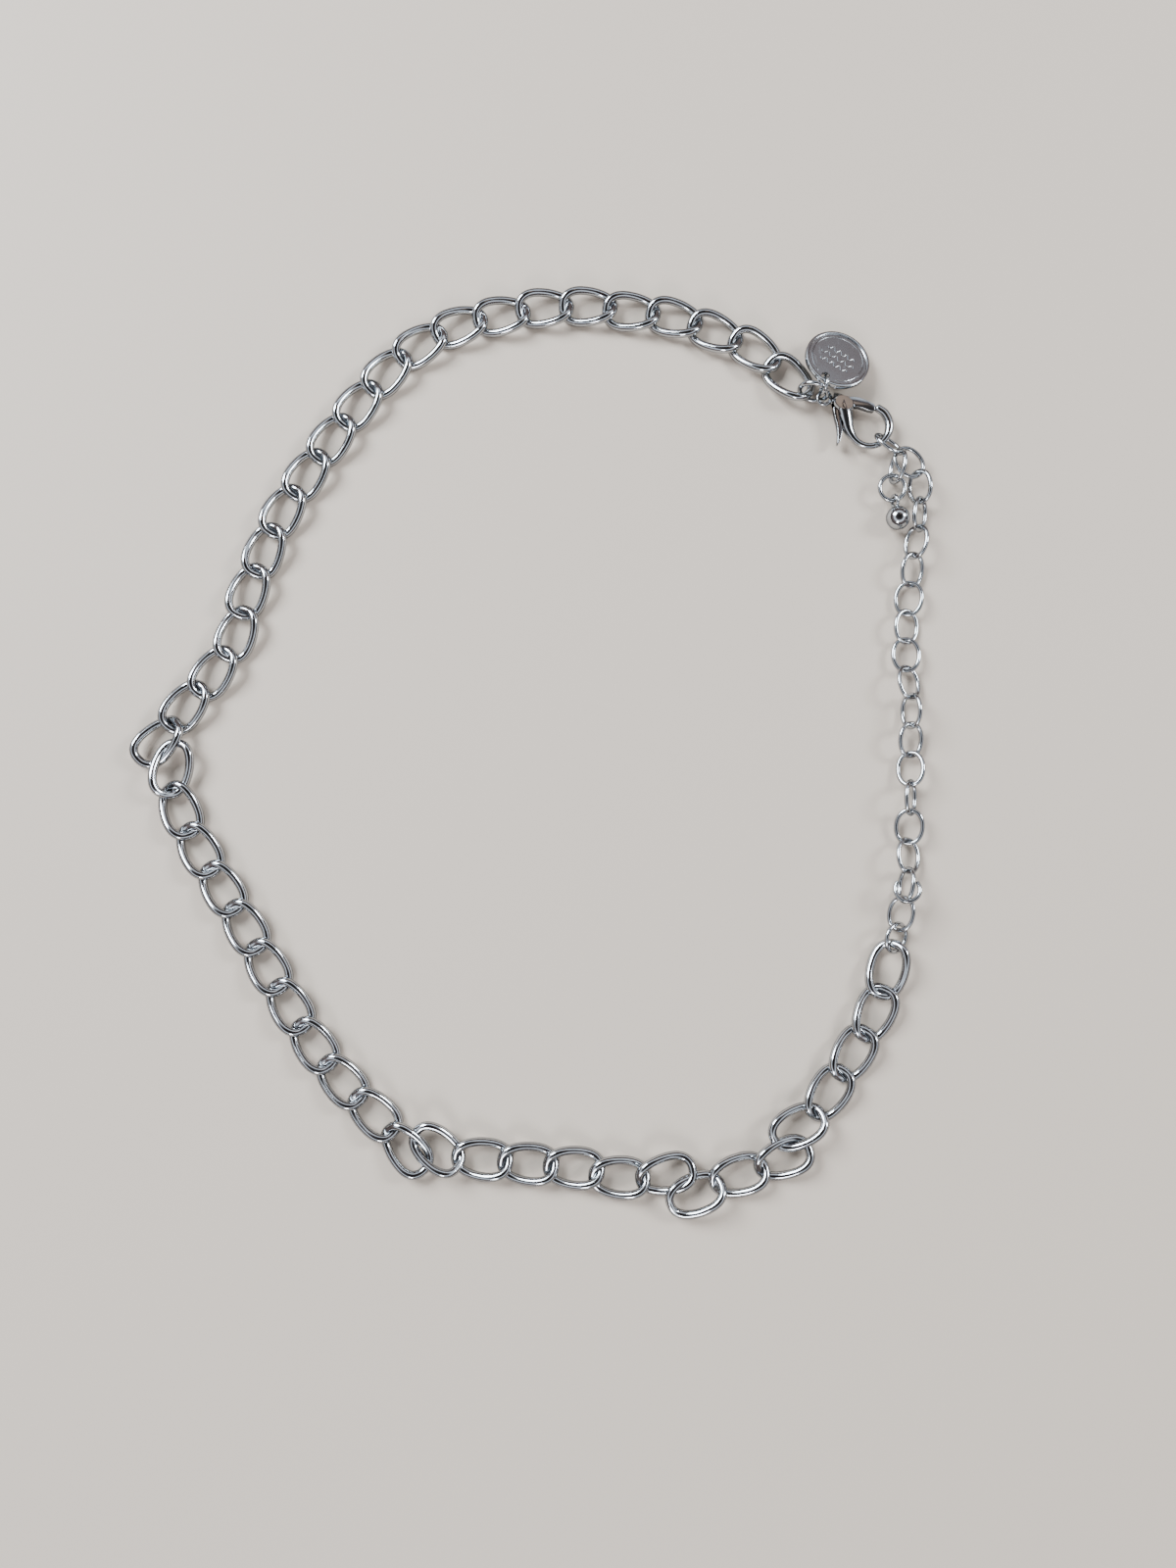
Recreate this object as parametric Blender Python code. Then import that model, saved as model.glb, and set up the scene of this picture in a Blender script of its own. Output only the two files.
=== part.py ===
"""Chain anklet: open curb links, a lobster clasp, a round tag and an extender chain with an end ball.

Metres, +Z up. The anklet lies closed on a flat surface at z = 0, with its origin under the loop's middle.
The links follow each other counter-clockwise, seen from above, from the clasp's eye round to its hook.
"""

import math

import bmesh
import bpy
from mathutils import Matrix, Vector

MM = 0.001

FLOOR_GAP = 0.03 * MM
RUNNING_GAP = 0.16 * MM         # between rings, links and clasp that move on each other
WIRE_SIDES = 6
CLASP_SIDES = 8
SLIVER = 0.002 * MM

# Main chain
LINK_LENGTH = 6.85 * MM
LINK_WIDTH = 4.65 * MM
LINK_WIRE = 0.88 * MM
LINK_RISE = 0.44 * MM           # how far the twist lifts and drops a link's wire
LINK_SEGMENTS = 10

# Extender chain
CABLE_LENGTH = 4.08 * MM
CABLE_WIDTH = 3.35 * MM
CABLE_WIRE = 0.46 * MM
CABLE_BITE = 0.12               # share of the wire that soldered links sink into each other
CABLE_SEGMENTS = 10
SIDE_LINK_ROLL = 71.0           # degrees
SIDE_LINK_HEADING = -100.0

# Lobster clasp
CLASP_HEIGHT = 1.28 * MM        # middle of the clasp above the surface
HOOK_RADIUS = 2.24 * MM
EYE_RADIUS = 0.74 * MM
EYE_WIRE = 0.46 * MM
LEVER_THICKNESS = 0.8 * MM
LEVER_CLEARANCE = 0.15 * MM
LEVER_RANGE = 18.0              # degrees
PIN_RADIUS = 0.26 * MM
PIN_CLEARANCE = 0.11 * MM

# Rings, tag and ball
CHAIN_END_RING_RADIUS = 1.61 * MM
CHAIN_END_RING_WIRE = 0.5 * MM
CHAIN_END_RING_LEAN = 77.7      # degrees from flat
CHAIN_END_RING_HEADING = -15.7
TAG_RING_RADIUS = 1.0 * MM
TAG_RING_WIRE = 0.38 * MM
TAG_RING_LEAN = 80.5
TAG_RING_HEADING = 258.6
TAG_RING_PLACE = (0.632, 0.211, 0.745)      # from the chain end ring's middle, in its radii
TAG_HOLE_PLACE = (0.145, 1.001, -0.139)     # from the tag ring's middle, in its radii
TAG_LEAN = 17.0                 # the tag slopes down away from its hole
TAG_HEADING = 56.2
TAG_RADIUS = 3.8 * MM
TAG_THICKNESS = 0.6 * MM
TAG_RIM_WIDTH = 0.35 * MM
TAG_RIM_HEIGHT = 0.12 * MM
TAG_HOLE_RADIUS = 0.5 * MM
TAG_EDGE_LAND = 0.32 * MM
JOIN_RING_RADIUS = 1.6 * MM
JOIN_RING_WIRE = 0.46 * MM
JOIN_RING_ROLL = 38.4
JOIN_RING_HEADING = 70.7
OPEN_RING_RADIUS = 1.33 * MM
OPEN_RING_WIRE = 0.44 * MM
OPEN_RING_GAP = 100.0           # degrees of the ring that are open
END_RING_RADIUS = 1.44 * MM
END_RING_WIRE = 0.45 * MM
END_RING_HEADING = -80.0        # towards the ball
END_RING_SLOPE = 5.0
BALL_RADIUS = 1.35 * MM
BAIL_LENGTH = 1.65 * MM
BAIL_WIDTH = 1.25 * MM
BAIL_WIRE = 0.38 * MM
BAIL_ROLL = 75.0

# The chain's route, from the first link's end wire to the last link's, in millimetres
ROUTE = [
    (31.84, 40.14), (29.6, 42.1), (21.7, 47.4), (12.1, 50.1), (-3.1, 49.8), (-12.7, 46.5), (-19.9, 39.6),
    (-28.6, 26.8), (-32.4, 17.5), (-36.1, 8.0), (-40.8, 1.9), (-39.9, -7.9), (-32.1, -21.4), (-24.1, -34.4),
    (-17.3, -41.9), (-12.0, -45.6), (-0.5, -47.2), (14.8, -48.3), (22.8, -48.5), (28.5, -45.0),
    (33.0, -39.5), (38.2, -30.9), (39.7, -26.0), (40.55, -23.15),
]

FIRST_LINK_LIFT = 5.2           # degrees that the first link's free end is lifted by the ring
FIRST_LINK_ROLL = 3.4
LAST_LINK_LIFT = 4.5            # the same for the last link and the joining ring
LAST_LINK_ROLL = -12.0

# Links that lie out of line: number, share of a step to the next, aside in link widths, heading or None
LAID_LINKS = {
    1: (1.0, 0.0, 135.5),
    2: (1.0, -0.09, None), 6: (1.0, -0.10, None), 7: (1.0, -0.09, None), 18: (1.0, 0.11, None),
    20: (0.9, 0.08, None), 21: (0.61, -0.27, -135.0), 22: (0.95, 0.07, -104.0), 32: (0.63, -0.14, -50.0),
    33: (1.0, 0.10, -41.0), 37: (1.0, -0.15, None), 38: (0.68, 0.0, 12.0), 39: (0.92, -0.40, 20.0),
    41: (0.7, -0.17, 20.0), 42: (1.0, 0.14, 25.0),
}

# The extender's route, from the joining ring to the hook; its last point is the catch in the hook
EXTENDER_ROUTE = [
    (40.9, -21.41), (42.04, -15.53), (42.5, -8.8), (42.75, -2.28), (42.86, 4.37), (42.54, 10.72),
    (43.58, 20.5), (44.58, 27.05), (44.43, 30.45), (42.26, 33.06),
]
# Roll of each extender link about its length, degrees, left side up
EXTENDER_ROLLS = [-42, -75, 28, -16, 57, -34, 23, -63, 32, -5, 23, -16, 28, -52, 52, -52, 5, 52]

# The clasp's spine from the hook's tip to the eye, and its half width, in hook radii from the hook's centre
CLASP_SPINE = [
    (0.435, 0.966, 0.208), (0.80, 0.679, 0.228), (1.013, 0.183, 0.228), (0.956, -0.36, 0.205),
    (0.643, -0.808, 0.168), (0.157, -1.037, 0.162), (-0.369, -0.99, 0.165), (-0.799, -0.678, 0.19),
    (-1.089, -0.183, 0.29), (-1.212, 0.313, 0.37), (-1.305, 0.783, 0.42), (-1.425, 1.15, 0.42),
    (-1.62, 1.37, 0.37), (-1.90, 1.47, 0.31),
]
EYE_PLACE = (-2.321, 1.491)
PIVOT_PLACE = (-1.45, 1.228)
# The lever's outline from the thumb piece up its inner side, round the gate and back down its outer side
LEVER_OUTLINE = [
    (-1.705, -0.938), (-1.624, -0.938), (-1.47, -0.521), (-1.463, -0.104), (-1.546, 0.365), (-1.55, 0.731),
    (-1.404, 0.94), (-1.15, 0.951), (-0.616, 0.972), (0.225, 0.725), (0.32, 1.10), (-0.128, 1.296),
    (-0.607, 1.484), (-1.292, 1.516), (-1.547, 1.484), (-1.722, 1.333), (-1.818, 1.097), (-1.878, 0.836),
    (-1.799, 0.418), (-1.696, -0.104), (-1.673, -0.521),
]
SLOT_REACH = -0.5               # the slot's end towards the gate's tip, in hook radii


def clear_scene():
    """Empties the scene of objects."""
    for item in list(bpy.data.objects):
        bpy.data.objects.remove(item, do_unlink=True)


def new_collection(name):
    """Returns a new collection that is linked to the scene."""
    collection = bpy.data.collections.new(name)
    bpy.context.scene.collection.children.link(collection)
    return collection


def material(name, color, roughness):
    """Returns a polished metal."""
    mat = bpy.data.materials.new(name)
    mat.use_nodes = True
    shader = mat.node_tree.nodes["Principled BSDF"]
    shader.inputs["Base Color"].default_value = (*color, 1.0)
    shader.inputs["Metallic"].default_value = 1.0
    shader.inputs["Roughness"].default_value = roughness
    return mat


def swell(sides):
    """Radius of a polygon with the area of a circle of radius 1."""
    return math.sqrt(2 * math.pi / (sides * math.sin(2 * math.pi / sides)))


def turned(degrees, axis):
    """Returns a rotation about an axis letter."""
    return Matrix.Rotation(math.radians(degrees), 4, axis)


def heading_of(vector):
    """Returns a vector's heading in degrees, counter-clockwise from +X."""
    return math.degrees(math.atan2(vector.y, vector.x))


def polar(radius, degrees):
    """Returns a flat vector from its length and heading."""
    angle = math.radians(degrees)
    return Vector((radius * math.cos(angle), radius * math.sin(angle), 0.0))


def smooth(points, per=24):
    """Returns a Catmull-Rom curve through points as a dense list of vectors."""
    pts = [Vector(p) for p in points]
    pts = [2 * pts[0] - pts[1], *pts, 2 * pts[-1] - pts[-2]]
    curve = []
    for a, b, c, d in zip(pts, pts[1:], pts[2:], pts[3:]):
        for k in range(per):
            t = k / per
            curve.append(0.5 * (2 * b + (c - a) * t + (2 * a - 5 * b + 4 * c - d) * t ** 2
                                + (3 * b - a - 3 * c + d) * t ** 3))
    curve.append(pts[-2].copy())
    return curve


def curve_length(curve):
    """Returns a dense curve's length."""
    return sum((b - a).length for a, b in zip(curve, curve[1:]))


def walk(curve, distance):
    """Returns the point at a distance along a dense curve."""
    for a, b in zip(curve, curve[1:]):
        step = (b - a).length
        if distance <= step:
            return a.lerp(b, distance / step)
        distance -= step
    return curve[-1] + (curve[-1] - curve[-2]).normalized() * distance


def loop_points(half_length, half_width, segments, rise=0.0):
    """Returns an oval loop's wire path, with a curb link's twist where rise is set."""
    grow = swell(segments)
    points = []
    for k in range(segments):
        t = 2 * math.pi * k / segments
        points.append(Vector((grow * half_length * math.cos(t), grow * half_width * math.sin(t),
                              -rise * math.sin(2 * t))))
    return points


def arc_points(radius, start, end, segments):
    """Returns a flat arc's points between two angles in degrees."""
    return [polar(radius, start + (end - start) * k / segments) for k in range(segments + 1)]


def placed(points, origin, heading=0.0, pitch=0.0, roll=0.0):
    """Returns points rolled about their length, pitched up, headed and moved."""
    matrix = Matrix.Translation(origin) @ turned(heading, "Z") @ turned(-pitch, "Y") @ turned(roll, "X")
    return [matrix @ p for p in points]


def wire_object(name, paths, wire, collection, sides=WIRE_SIDES, cyclic=True):
    """Makes one mesh object of round wire along paths of points, or of points with a radius share."""
    data = bpy.data.curves.new(name, "CURVE")
    data.dimensions = "3D"
    data.bevel_depth = swell(sides) * wire / 2
    data.bevel_resolution = (sides - 4) // 2
    data.use_fill_caps = not cyclic
    for path in paths:
        spline = data.splines.new("POLY")
        spline.points.add(len(path) - 1)
        for point, at in zip(spline.points, path):
            point.co = (*at[:3], 1.0)
            point.radius = at[3] if len(at) > 3 else 1.0
        spline.use_cyclic_u = cyclic
    return meshed(name, data, collection)


def meshed(name, data, collection):
    """Turns curve data into a welded mesh object."""
    curve = bpy.data.objects.new(name + "_curve", data)
    collection.objects.link(curve)
    graph = bpy.context.evaluated_depsgraph_get()
    mesh = bpy.data.meshes.new_from_object(curve.evaluated_get(graph))
    bpy.data.objects.remove(curve, do_unlink=True)
    mesh.name = name
    return mesh_object(name, mesh, collection)


def mesh_object(name, mesh, collection):
    """Welds a mesh, faces it outwards and links it as an object."""
    shape = bmesh.new()
    shape.from_mesh(mesh)
    bmesh.ops.remove_doubles(shape, verts=shape.verts, dist=0.0005 * MM)
    bmesh.ops.recalc_face_normals(shape, faces=shape.faces)
    shape.to_mesh(mesh)
    shape.free()
    item = bpy.data.objects.new(name, mesh)
    collection.objects.link(item)
    return item


def combine(target, other, operation, solver="EXACT"):
    """Applies a Boolean of another object to a target and removes the other."""
    step = target.modifiers.new("combine", "BOOLEAN")
    step.operation = operation
    step.solver = solver
    step.object = other
    bpy.context.view_layer.update()
    graph = bpy.context.evaluated_depsgraph_get()
    mesh = bpy.data.meshes.new_from_object(target.evaluated_get(graph))
    target.modifiers.clear()
    target.data = mesh
    bpy.data.objects.remove(other, do_unlink=True)
    return target


def without_slivers(item):
    """Welds a Boolean's slivers away and drops the crumbs that they leave beside the body."""
    shape = bmesh.new()
    shape.from_mesh(item.data)
    bmesh.ops.triangulate(shape, faces=shape.faces)
    bmesh.ops.dissolve_degenerate(shape, edges=shape.edges, dist=SLIVER)
    shape.verts.ensure_lookup_table()
    islands = []
    seen = set()
    for vert in shape.verts:
        if vert in seen:
            continue
        island = {vert}
        edge = [vert]
        while edge:
            near = {e.other_vert(v) for v in edge for e in v.link_edges} - island
            island |= near
            edge = list(near)
        seen |= island
        islands.append(island)
    body = max(islands, key=len)
    crumbs = [v for v in shape.verts if v not in body]
    bmesh.ops.delete(shape, geom=crumbs, context="VERTS")
    shape.to_mesh(item.data)
    shape.free()
    return item


def dress(item, mat):
    """Gives an object its material and round shading."""
    item.data.materials.clear()
    item.data.materials.append(mat)
    item.data.shade_smooth()
    item.data.set_sharp_from_angle(angle=math.radians(40))
    return item


def chain_links():
    """Returns each main chain link's place and heading along the route."""
    half = (LINK_LENGTH - LINK_WIRE) / 2
    height = FLOOR_GAP + LINK_RISE + swell(WIRE_SIDES) * LINK_WIRE / 2
    curve = smooth([(x * MM, y * MM, height) for x, y in ROUTE])
    pitch = LINK_LENGTH - 2 * LINK_WIRE
    lost = sum(1.0 - step for step, aside, heading in LAID_LINKS.values())
    span = curve_length(curve) - 2 * half
    count = round(span / pitch + lost) + 1
    pitch = span / (count - 1 - lost)
    links = []
    station = half
    for number in range(1, count + 1):
        step, aside, heading = LAID_LINKS.get(number, (1.0, 0.0, None))
        here = walk(curve, station)
        along = (walk(curve, station + half / 2) - walk(curve, station - half / 2)).normalized()
        if heading is None:
            heading = heading_of(along)
        left = Vector((-along.y, along.x, 0.0))
        links.append((here + left * aside * LINK_WIDTH, heading))
        station += step * pitch
    return links


def link_points(origin, heading, lift=0.0, roll=0.0):
    """Returns a main chain link's wire path."""
    half_length = (LINK_LENGTH - LINK_WIRE) / 2
    half_width = (LINK_WIDTH - LINK_WIRE) / 2
    loop = loop_points(half_length, half_width, LINK_SEGMENTS, LINK_RISE)
    return placed(loop, origin, heading, -lift, roll)


def first_link():
    """Returns the first link's place and heading, with its free end lifted."""
    origin, heading = chain_links()[0]
    rise = (LINK_LENGTH - LINK_WIRE) / 4 * math.sin(math.radians(FIRST_LINK_LIFT))
    return origin + Vector((0.0, 0.0, rise)), heading


def last_link():
    """Returns the last link's place and heading, with its free end lifted."""
    origin, heading = chain_links()[-1]
    rise = (LINK_LENGTH - LINK_WIRE) / 4 * math.sin(math.radians(LAST_LINK_LIFT))
    rise += (LINK_WIDTH - LINK_WIRE) / 8 * abs(math.sin(math.radians(LAST_LINK_ROLL)))
    return origin + Vector((0.0, 0.0, rise)), heading


def build_main_chain(collection):
    """Builds the curb chain, soldered into one piece at every crossing."""
    paths = [link_points(origin, heading) for origin, heading in chain_links()]
    paths[-1] = link_points(*last_link(), -LAST_LINK_LIFT, LAST_LINK_ROLL)
    paths[0] = link_points(*first_link(), FIRST_LINK_LIFT, FIRST_LINK_ROLL)
    chain = wire_object("main_chain", paths[0::2], LINK_WIRE, collection)
    other = wire_object("main_chain_even", paths[1::2], LINK_WIRE, collection)
    return without_slivers(combine(chain, other, "UNION", "MANIFOLD"))


def end_ring_middle():
    """Returns the middle of the ring on the first link's free end, which stands on the surface."""
    origin, heading = first_link()
    tip = origin + polar((LINK_LENGTH - LINK_WIRE) / 2, heading + 180.0)
    reach = CHAIN_END_RING_RADIUS - (CHAIN_END_RING_WIRE + LINK_WIRE) / 2 - 2 * RUNNING_GAP
    middle = tip + polar(reach, CHAIN_END_RING_HEADING + 27.0)
    lean = math.radians(CHAIN_END_RING_LEAN)
    middle.z = FLOOR_GAP + CHAIN_END_RING_RADIUS * math.sin(lean) + CHAIN_END_RING_WIRE * 0.55
    return middle


def eye_middle():
    """Returns the middle of the clasp's eye, which the chain end ring passes through."""
    ring = end_ring_middle()
    lean = math.radians(CHAIN_END_RING_LEAN)
    down = (ring.z - CLASP_HEIGHT) / math.sin(lean)
    reach = math.sqrt(CHAIN_END_RING_RADIUS ** 2 - down ** 2)
    middle = ring + polar(reach - 0.06 * MM, CHAIN_END_RING_HEADING)
    middle += polar(down * math.cos(lean), CHAIN_END_RING_HEADING - 90.0)
    middle.z = CLASP_HEIGHT
    return middle


def clasp_point(x, y):
    """Returns a point of the clasp's middle plane from hook radii beside the hook's centre."""
    beside = Vector((x - EYE_PLACE[0], y - EYE_PLACE[1], 0.0))
    return eye_middle() + HOOK_RADIUS * beside


def hook_catch():
    """Returns where the extender's last end wire pulls against the inside of the hook."""
    x, y, half_width = CLASP_SPINE[4]
    inside = math.hypot(x, y) * HOOK_RADIUS - half_width * HOOK_RADIUS * swell(CLASP_SIDES)
    reach = inside - 2 * RUNNING_GAP - swell(WIRE_SIDES) * CABLE_WIRE / 2
    bearing = math.degrees(math.atan2(y, x))
    return clasp_point(0.0, 0.0) + polar(reach, bearing)


def cable_rest(roll):
    """Returns a rolled extender link's middle height when it lies on the surface."""
    spread = (CABLE_WIDTH - CABLE_WIRE) / 2 * abs(math.sin(math.radians(roll)))
    return FLOOR_GAP + spread * swell(CABLE_SEGMENTS) + swell(WIRE_SIDES) * CABLE_WIRE / 2


def cable_joints():
    """Returns the extender's joints, where two links hook, from the joining ring to the hook."""
    overlap = CABLE_WIRE * (1 - CABLE_BITE)
    catch = hook_catch()
    points = [Vector((x * MM, y * MM, 0.0)) for x, y in EXTENDER_ROUTE]
    curve = smooth(points + [Vector((catch.x, catch.y, 0.0))])
    span = curve_length(curve)
    count = round(span / (CABLE_LENGTH - CABLE_WIRE - overlap))
    rolls = [EXTENDER_ROLLS[k % len(EXTENDER_ROLLS)] for k in range(count)]
    joints = []
    for k in range(count + 1):
        joint = walk(curve, span * k / count)
        beside = [cable_rest(roll) for roll in rolls[max(k - 1, 0):k + 1]]
        joint.z = max(beside)
        joints.append(joint)
    joints[-1].z = CLASP_HEIGHT
    joints[-2].z += CABLE_WIRE / 6
    return joints, rolls


def cable_link(start, end, roll):
    """Returns an extender link's wire path between the middles of its two end wires."""
    along = end - start
    flat = math.hypot(along.x, along.y)
    half_width = (CABLE_WIDTH - CABLE_WIRE) / 2
    points = loop_points(along.length / 2 / swell(CABLE_SEGMENTS), half_width, CABLE_SEGMENTS)
    pitch = math.degrees(math.atan2(along.z, flat))
    return placed(points, (start + end) / 2, heading_of(along), pitch, roll)


def cable_paths():
    """Returns the wire paths of the extender's links, with the side link that holds the end ring last."""
    joints, rolls = cable_joints()
    overlap = CABLE_WIRE * (1 - CABLE_BITE)
    paths = []
    for k, roll in enumerate(rolls):
        along = (joints[k + 1] - joints[k]).normalized()
        start = joints[k] - along * overlap / 2
        end = joints[k + 1] + along * overlap / 2
        if k == len(rolls) - 1:
            end = joints[k + 1]
        paths.append(cable_link(start, end, roll))
    start, end = side_link_ends()
    paths.append(cable_link(start, end, SIDE_LINK_ROLL))
    return paths


def side_link_ends():
    """Returns the middles of the side link's end wires; it hangs from the last joint but one."""
    joints, rolls = cable_joints()
    start = joints[-2].copy()
    start.z += CABLE_WIRE * (1 - CABLE_BITE)
    end = start + polar(CABLE_LENGTH - CABLE_WIRE, SIDE_LINK_HEADING)
    end.z = cable_rest(SIDE_LINK_ROLL) - CABLE_WIRE / 3
    return start, end


def build_extender(collection):
    """Builds the extender chain, soldered into one piece at every joint."""
    paths = cable_paths()
    chain = wire_object("extender_chain", paths[0:-1:2], CABLE_WIRE, collection)
    other = wire_object("extender_even", paths[1:-1:2], CABLE_WIRE, collection)
    combine(chain, other, "UNION", "MANIFOLD")
    side = wire_object("extender_side", paths[-1:], CABLE_WIRE, collection)
    return without_slivers(combine(chain, side, "UNION", "MANIFOLD"))


def lever_outline(grow, reach=1.0):
    """Returns the lever's outline about its pivot, widened by grow and cut off at a reach."""
    pivot = clasp_point(*PIVOT_PLACE)
    corners = [clasp_point(x, y) - pivot for x, y in LEVER_OUTLINE if x < reach]
    widened = []
    for k, corner in enumerate(corners):
        before = (corner - corners[k - 1]).normalized()
        after = (corners[(k + 1) % len(corners)] - corner).normalized()
        out = Vector((before.y + after.y, -before.x - after.x, 0.0)).normalized()
        spread = out.dot(Vector((before.y, -before.x, 0.0)))
        widened.append(corner + out * grow / max(spread, 0.5))
    return widened


def plate(name, outlines, thickness, collection):
    """Extrudes flat outlines, the later ones holes in the first, about the local middle plane."""
    data = bpy.data.curves.new(name, "CURVE")
    data.dimensions = "2D"
    data.fill_mode = "BOTH"
    data.extrude = thickness / 2
    for outline in outlines:
        spline = data.splines.new("POLY")
        spline.points.add(len(outline) - 1)
        for point, at in zip(spline.points, outline):
            point.co = (at.x, at.y, 0.0, 1.0)
        spline.use_cyclic_u = True
    return meshed(name, data, collection)


def build_lever(collection):
    """Builds the clasp's lever with its bore on the object's origin."""
    bore = arc_points(PIN_RADIUS + PIN_CLEARANCE, 0.0, 345.0, 23)
    lever = plate("clasp_lever", [lever_outline(0.0), bore], LEVER_THICKNESS, collection)
    lever.location = clasp_point(*PIVOT_PLACE)
    return lever


def cylinder(name, radius, depth, sides, location, collection):
    """Makes a cylinder about a vertical axis."""
    mesh = bpy.data.meshes.new(name)
    shape = bmesh.new()
    bmesh.ops.create_cone(shape, cap_ends=True, segments=sides, radius1=radius, radius2=radius, depth=depth)
    shape.to_mesh(mesh)
    shape.free()
    item = bpy.data.objects.new(name, mesh)
    item.location = location
    collection.objects.link(item)
    return item


def swept_hull(name, corners, height, collection):
    """Makes the convex solid that a flat outline sweeps as the lever opens."""
    mesh = bpy.data.meshes.new(name)
    shape = bmesh.new()
    for angle in (0.0, LEVER_RANGE / 2, LEVER_RANGE):
        turn = turned(-angle, "Z")
        for corner in corners:
            for side in (-height / 2, height / 2):
                shape.verts.new(turn @ corner + Vector((0.0, 0.0, side)))
    hull = bmesh.ops.convex_hull(shape, input=shape.verts)
    inside = [v for v in hull["geom_interior"] + hull["geom_unused"] if isinstance(v, bmesh.types.BMVert)]
    bmesh.ops.delete(shape, geom=list(set(inside)), context="VERTS")
    bmesh.ops.recalc_face_normals(shape, faces=shape.faces)
    shape.to_mesh(mesh)
    shape.free()
    item = bpy.data.objects.new(name, mesh)
    item.location = clasp_point(*PIVOT_PLACE)
    collection.objects.link(item)
    return item


def build_clasp_body(collection, cutters):
    """Builds the hook, back and eye, slotted for the lever, with the hinge pin."""
    spine = smooth([(x, y, w) for x, y, w in CLASP_SPINE], per=3)
    path = []
    for p in spine:
        at = clasp_point(p.x, p.y)
        path.append((at.x, at.y, at.z, p.z))
    body = wire_object("clasp_body", [path], 2 * HOOK_RADIUS, collection, CLASP_SIDES, cyclic=False)
    eye = wire_object("clasp_eye", [eye_points()], EYE_WIRE, collection, CLASP_SIDES)
    combine(body, eye, "UNION")
    hollow = cylinder("eye_hollow", EYE_RADIUS - EYE_WIRE / 2, 4 * HOOK_RADIUS, 16,
                      clasp_point(*EYE_PLACE), cutters)
    combine(body, hollow, "DIFFERENCE")
    corners = lever_outline(LEVER_CLEARANCE, SLOT_REACH)
    height = LEVER_THICKNESS + 2 * LEVER_CLEARANCE
    gate = [p for p in corners if p.y > -0.35 * HOOK_RADIUS]
    thumb = [p for p in corners if p.y < 0 and p.x < 0.1 * HOOK_RADIUS]
    combine(body, swept_hull("gate_slot", gate, height, cutters), "DIFFERENCE")
    combine(body, swept_hull("thumb_slot", thumb, height * 1.01, cutters), "DIFFERENCE")
    pin = cylinder("pin", PIN_RADIUS, LEVER_THICKNESS + 4 * LEVER_CLEARANCE, 16,
                   clasp_point(*PIVOT_PLACE), cutters)
    return combine(body, pin, "UNION")


def eye_points():
    """Returns the wire path of the clasp's eye."""
    return placed(loop_points(EYE_RADIUS, EYE_RADIUS, 16), eye_middle())


def ring_object(name, middle, radius, wire, heading, lean, collection):
    """Makes a closed ring that leans about its heading."""
    points = placed(loop_points(radius, radius, 16), middle, heading, 0.0, lean)
    return wire_object(name, [points], wire, collection)


def build_chain_end_ring(collection):
    """Builds the ring between the chain's first link and the clasp's eye."""
    return ring_object("chain_end_ring", end_ring_middle(), CHAIN_END_RING_RADIUS, CHAIN_END_RING_WIRE,
                       CHAIN_END_RING_HEADING, CHAIN_END_RING_LEAN, collection)


def tag_ring_middle():
    """Returns the middle of the ring that carries the tag on the chain end ring."""
    return end_ring_middle() + CHAIN_END_RING_RADIUS * Vector(TAG_RING_PLACE)


def build_tag_ring(collection):
    """Builds the small ring through the tag's hole."""
    return ring_object("tag_ring", tag_ring_middle(), TAG_RING_RADIUS, TAG_RING_WIRE,
                       TAG_RING_HEADING, TAG_RING_LEAN, collection)


def build_tag_disc(collection, cutters):
    """Builds the round tag with its rim, its recessed face and its hole."""
    reach = TAG_RADIUS - TAG_EDGE_LAND - TAG_HOLE_RADIUS
    mesh = bpy.data.meshes.new("tag_disc")
    shape = bmesh.new()
    bmesh.ops.create_cone(shape, cap_ends=True, segments=40, radius1=TAG_RADIUS, radius2=TAG_RADIUS,
                          depth=TAG_THICKNESS)
    top = [f for f in shape.faces if f.normal.z > 0.9]
    bmesh.ops.inset_region(shape, faces=top, thickness=TAG_RIM_WIDTH)
    bmesh.ops.translate(shape, verts=top[0].verts, vec=(0.0, 0.0, -TAG_RIM_HEIGHT))
    shape.to_mesh(mesh)
    shape.free()
    disc = mesh_object("tag_disc", mesh, collection)
    hole = cylinder("tag_hole", TAG_HOLE_RADIUS, 4 * TAG_THICKNESS, 16, (-reach, 0.0, 0.0), cutters)
    combine(disc, hole, "DIFFERENCE")
    place = tag_ring_middle() + TAG_RING_RADIUS * Vector(TAG_HOLE_PLACE)
    turn = turned(TAG_HEADING, "Z") @ turned(TAG_LEAN, "Y")
    disc.matrix_world = Matrix.Translation(place) @ turn @ Matrix.Translation((reach, 0.0, 0.0))
    return disc


def build_join_ring(collection):
    """Builds the ring between the chain's last link and the extender's first."""
    origin, heading = last_link()
    tip = origin + polar((LINK_LENGTH - LINK_WIRE) / 2, heading)
    reach = JOIN_RING_RADIUS - (LINK_WIRE + JOIN_RING_WIRE) / 2 - 1.5 * RUNNING_GAP
    middle = tip + polar(reach, JOIN_RING_HEADING)
    middle.z = FLOOR_GAP + JOIN_RING_RADIUS * math.sin(math.radians(JOIN_RING_ROLL)) + JOIN_RING_WIRE * 0.58
    return ring_object("extender_join_ring", middle, JOIN_RING_RADIUS, JOIN_RING_WIRE,
                       JOIN_RING_HEADING, JOIN_RING_ROLL, collection)


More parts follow.
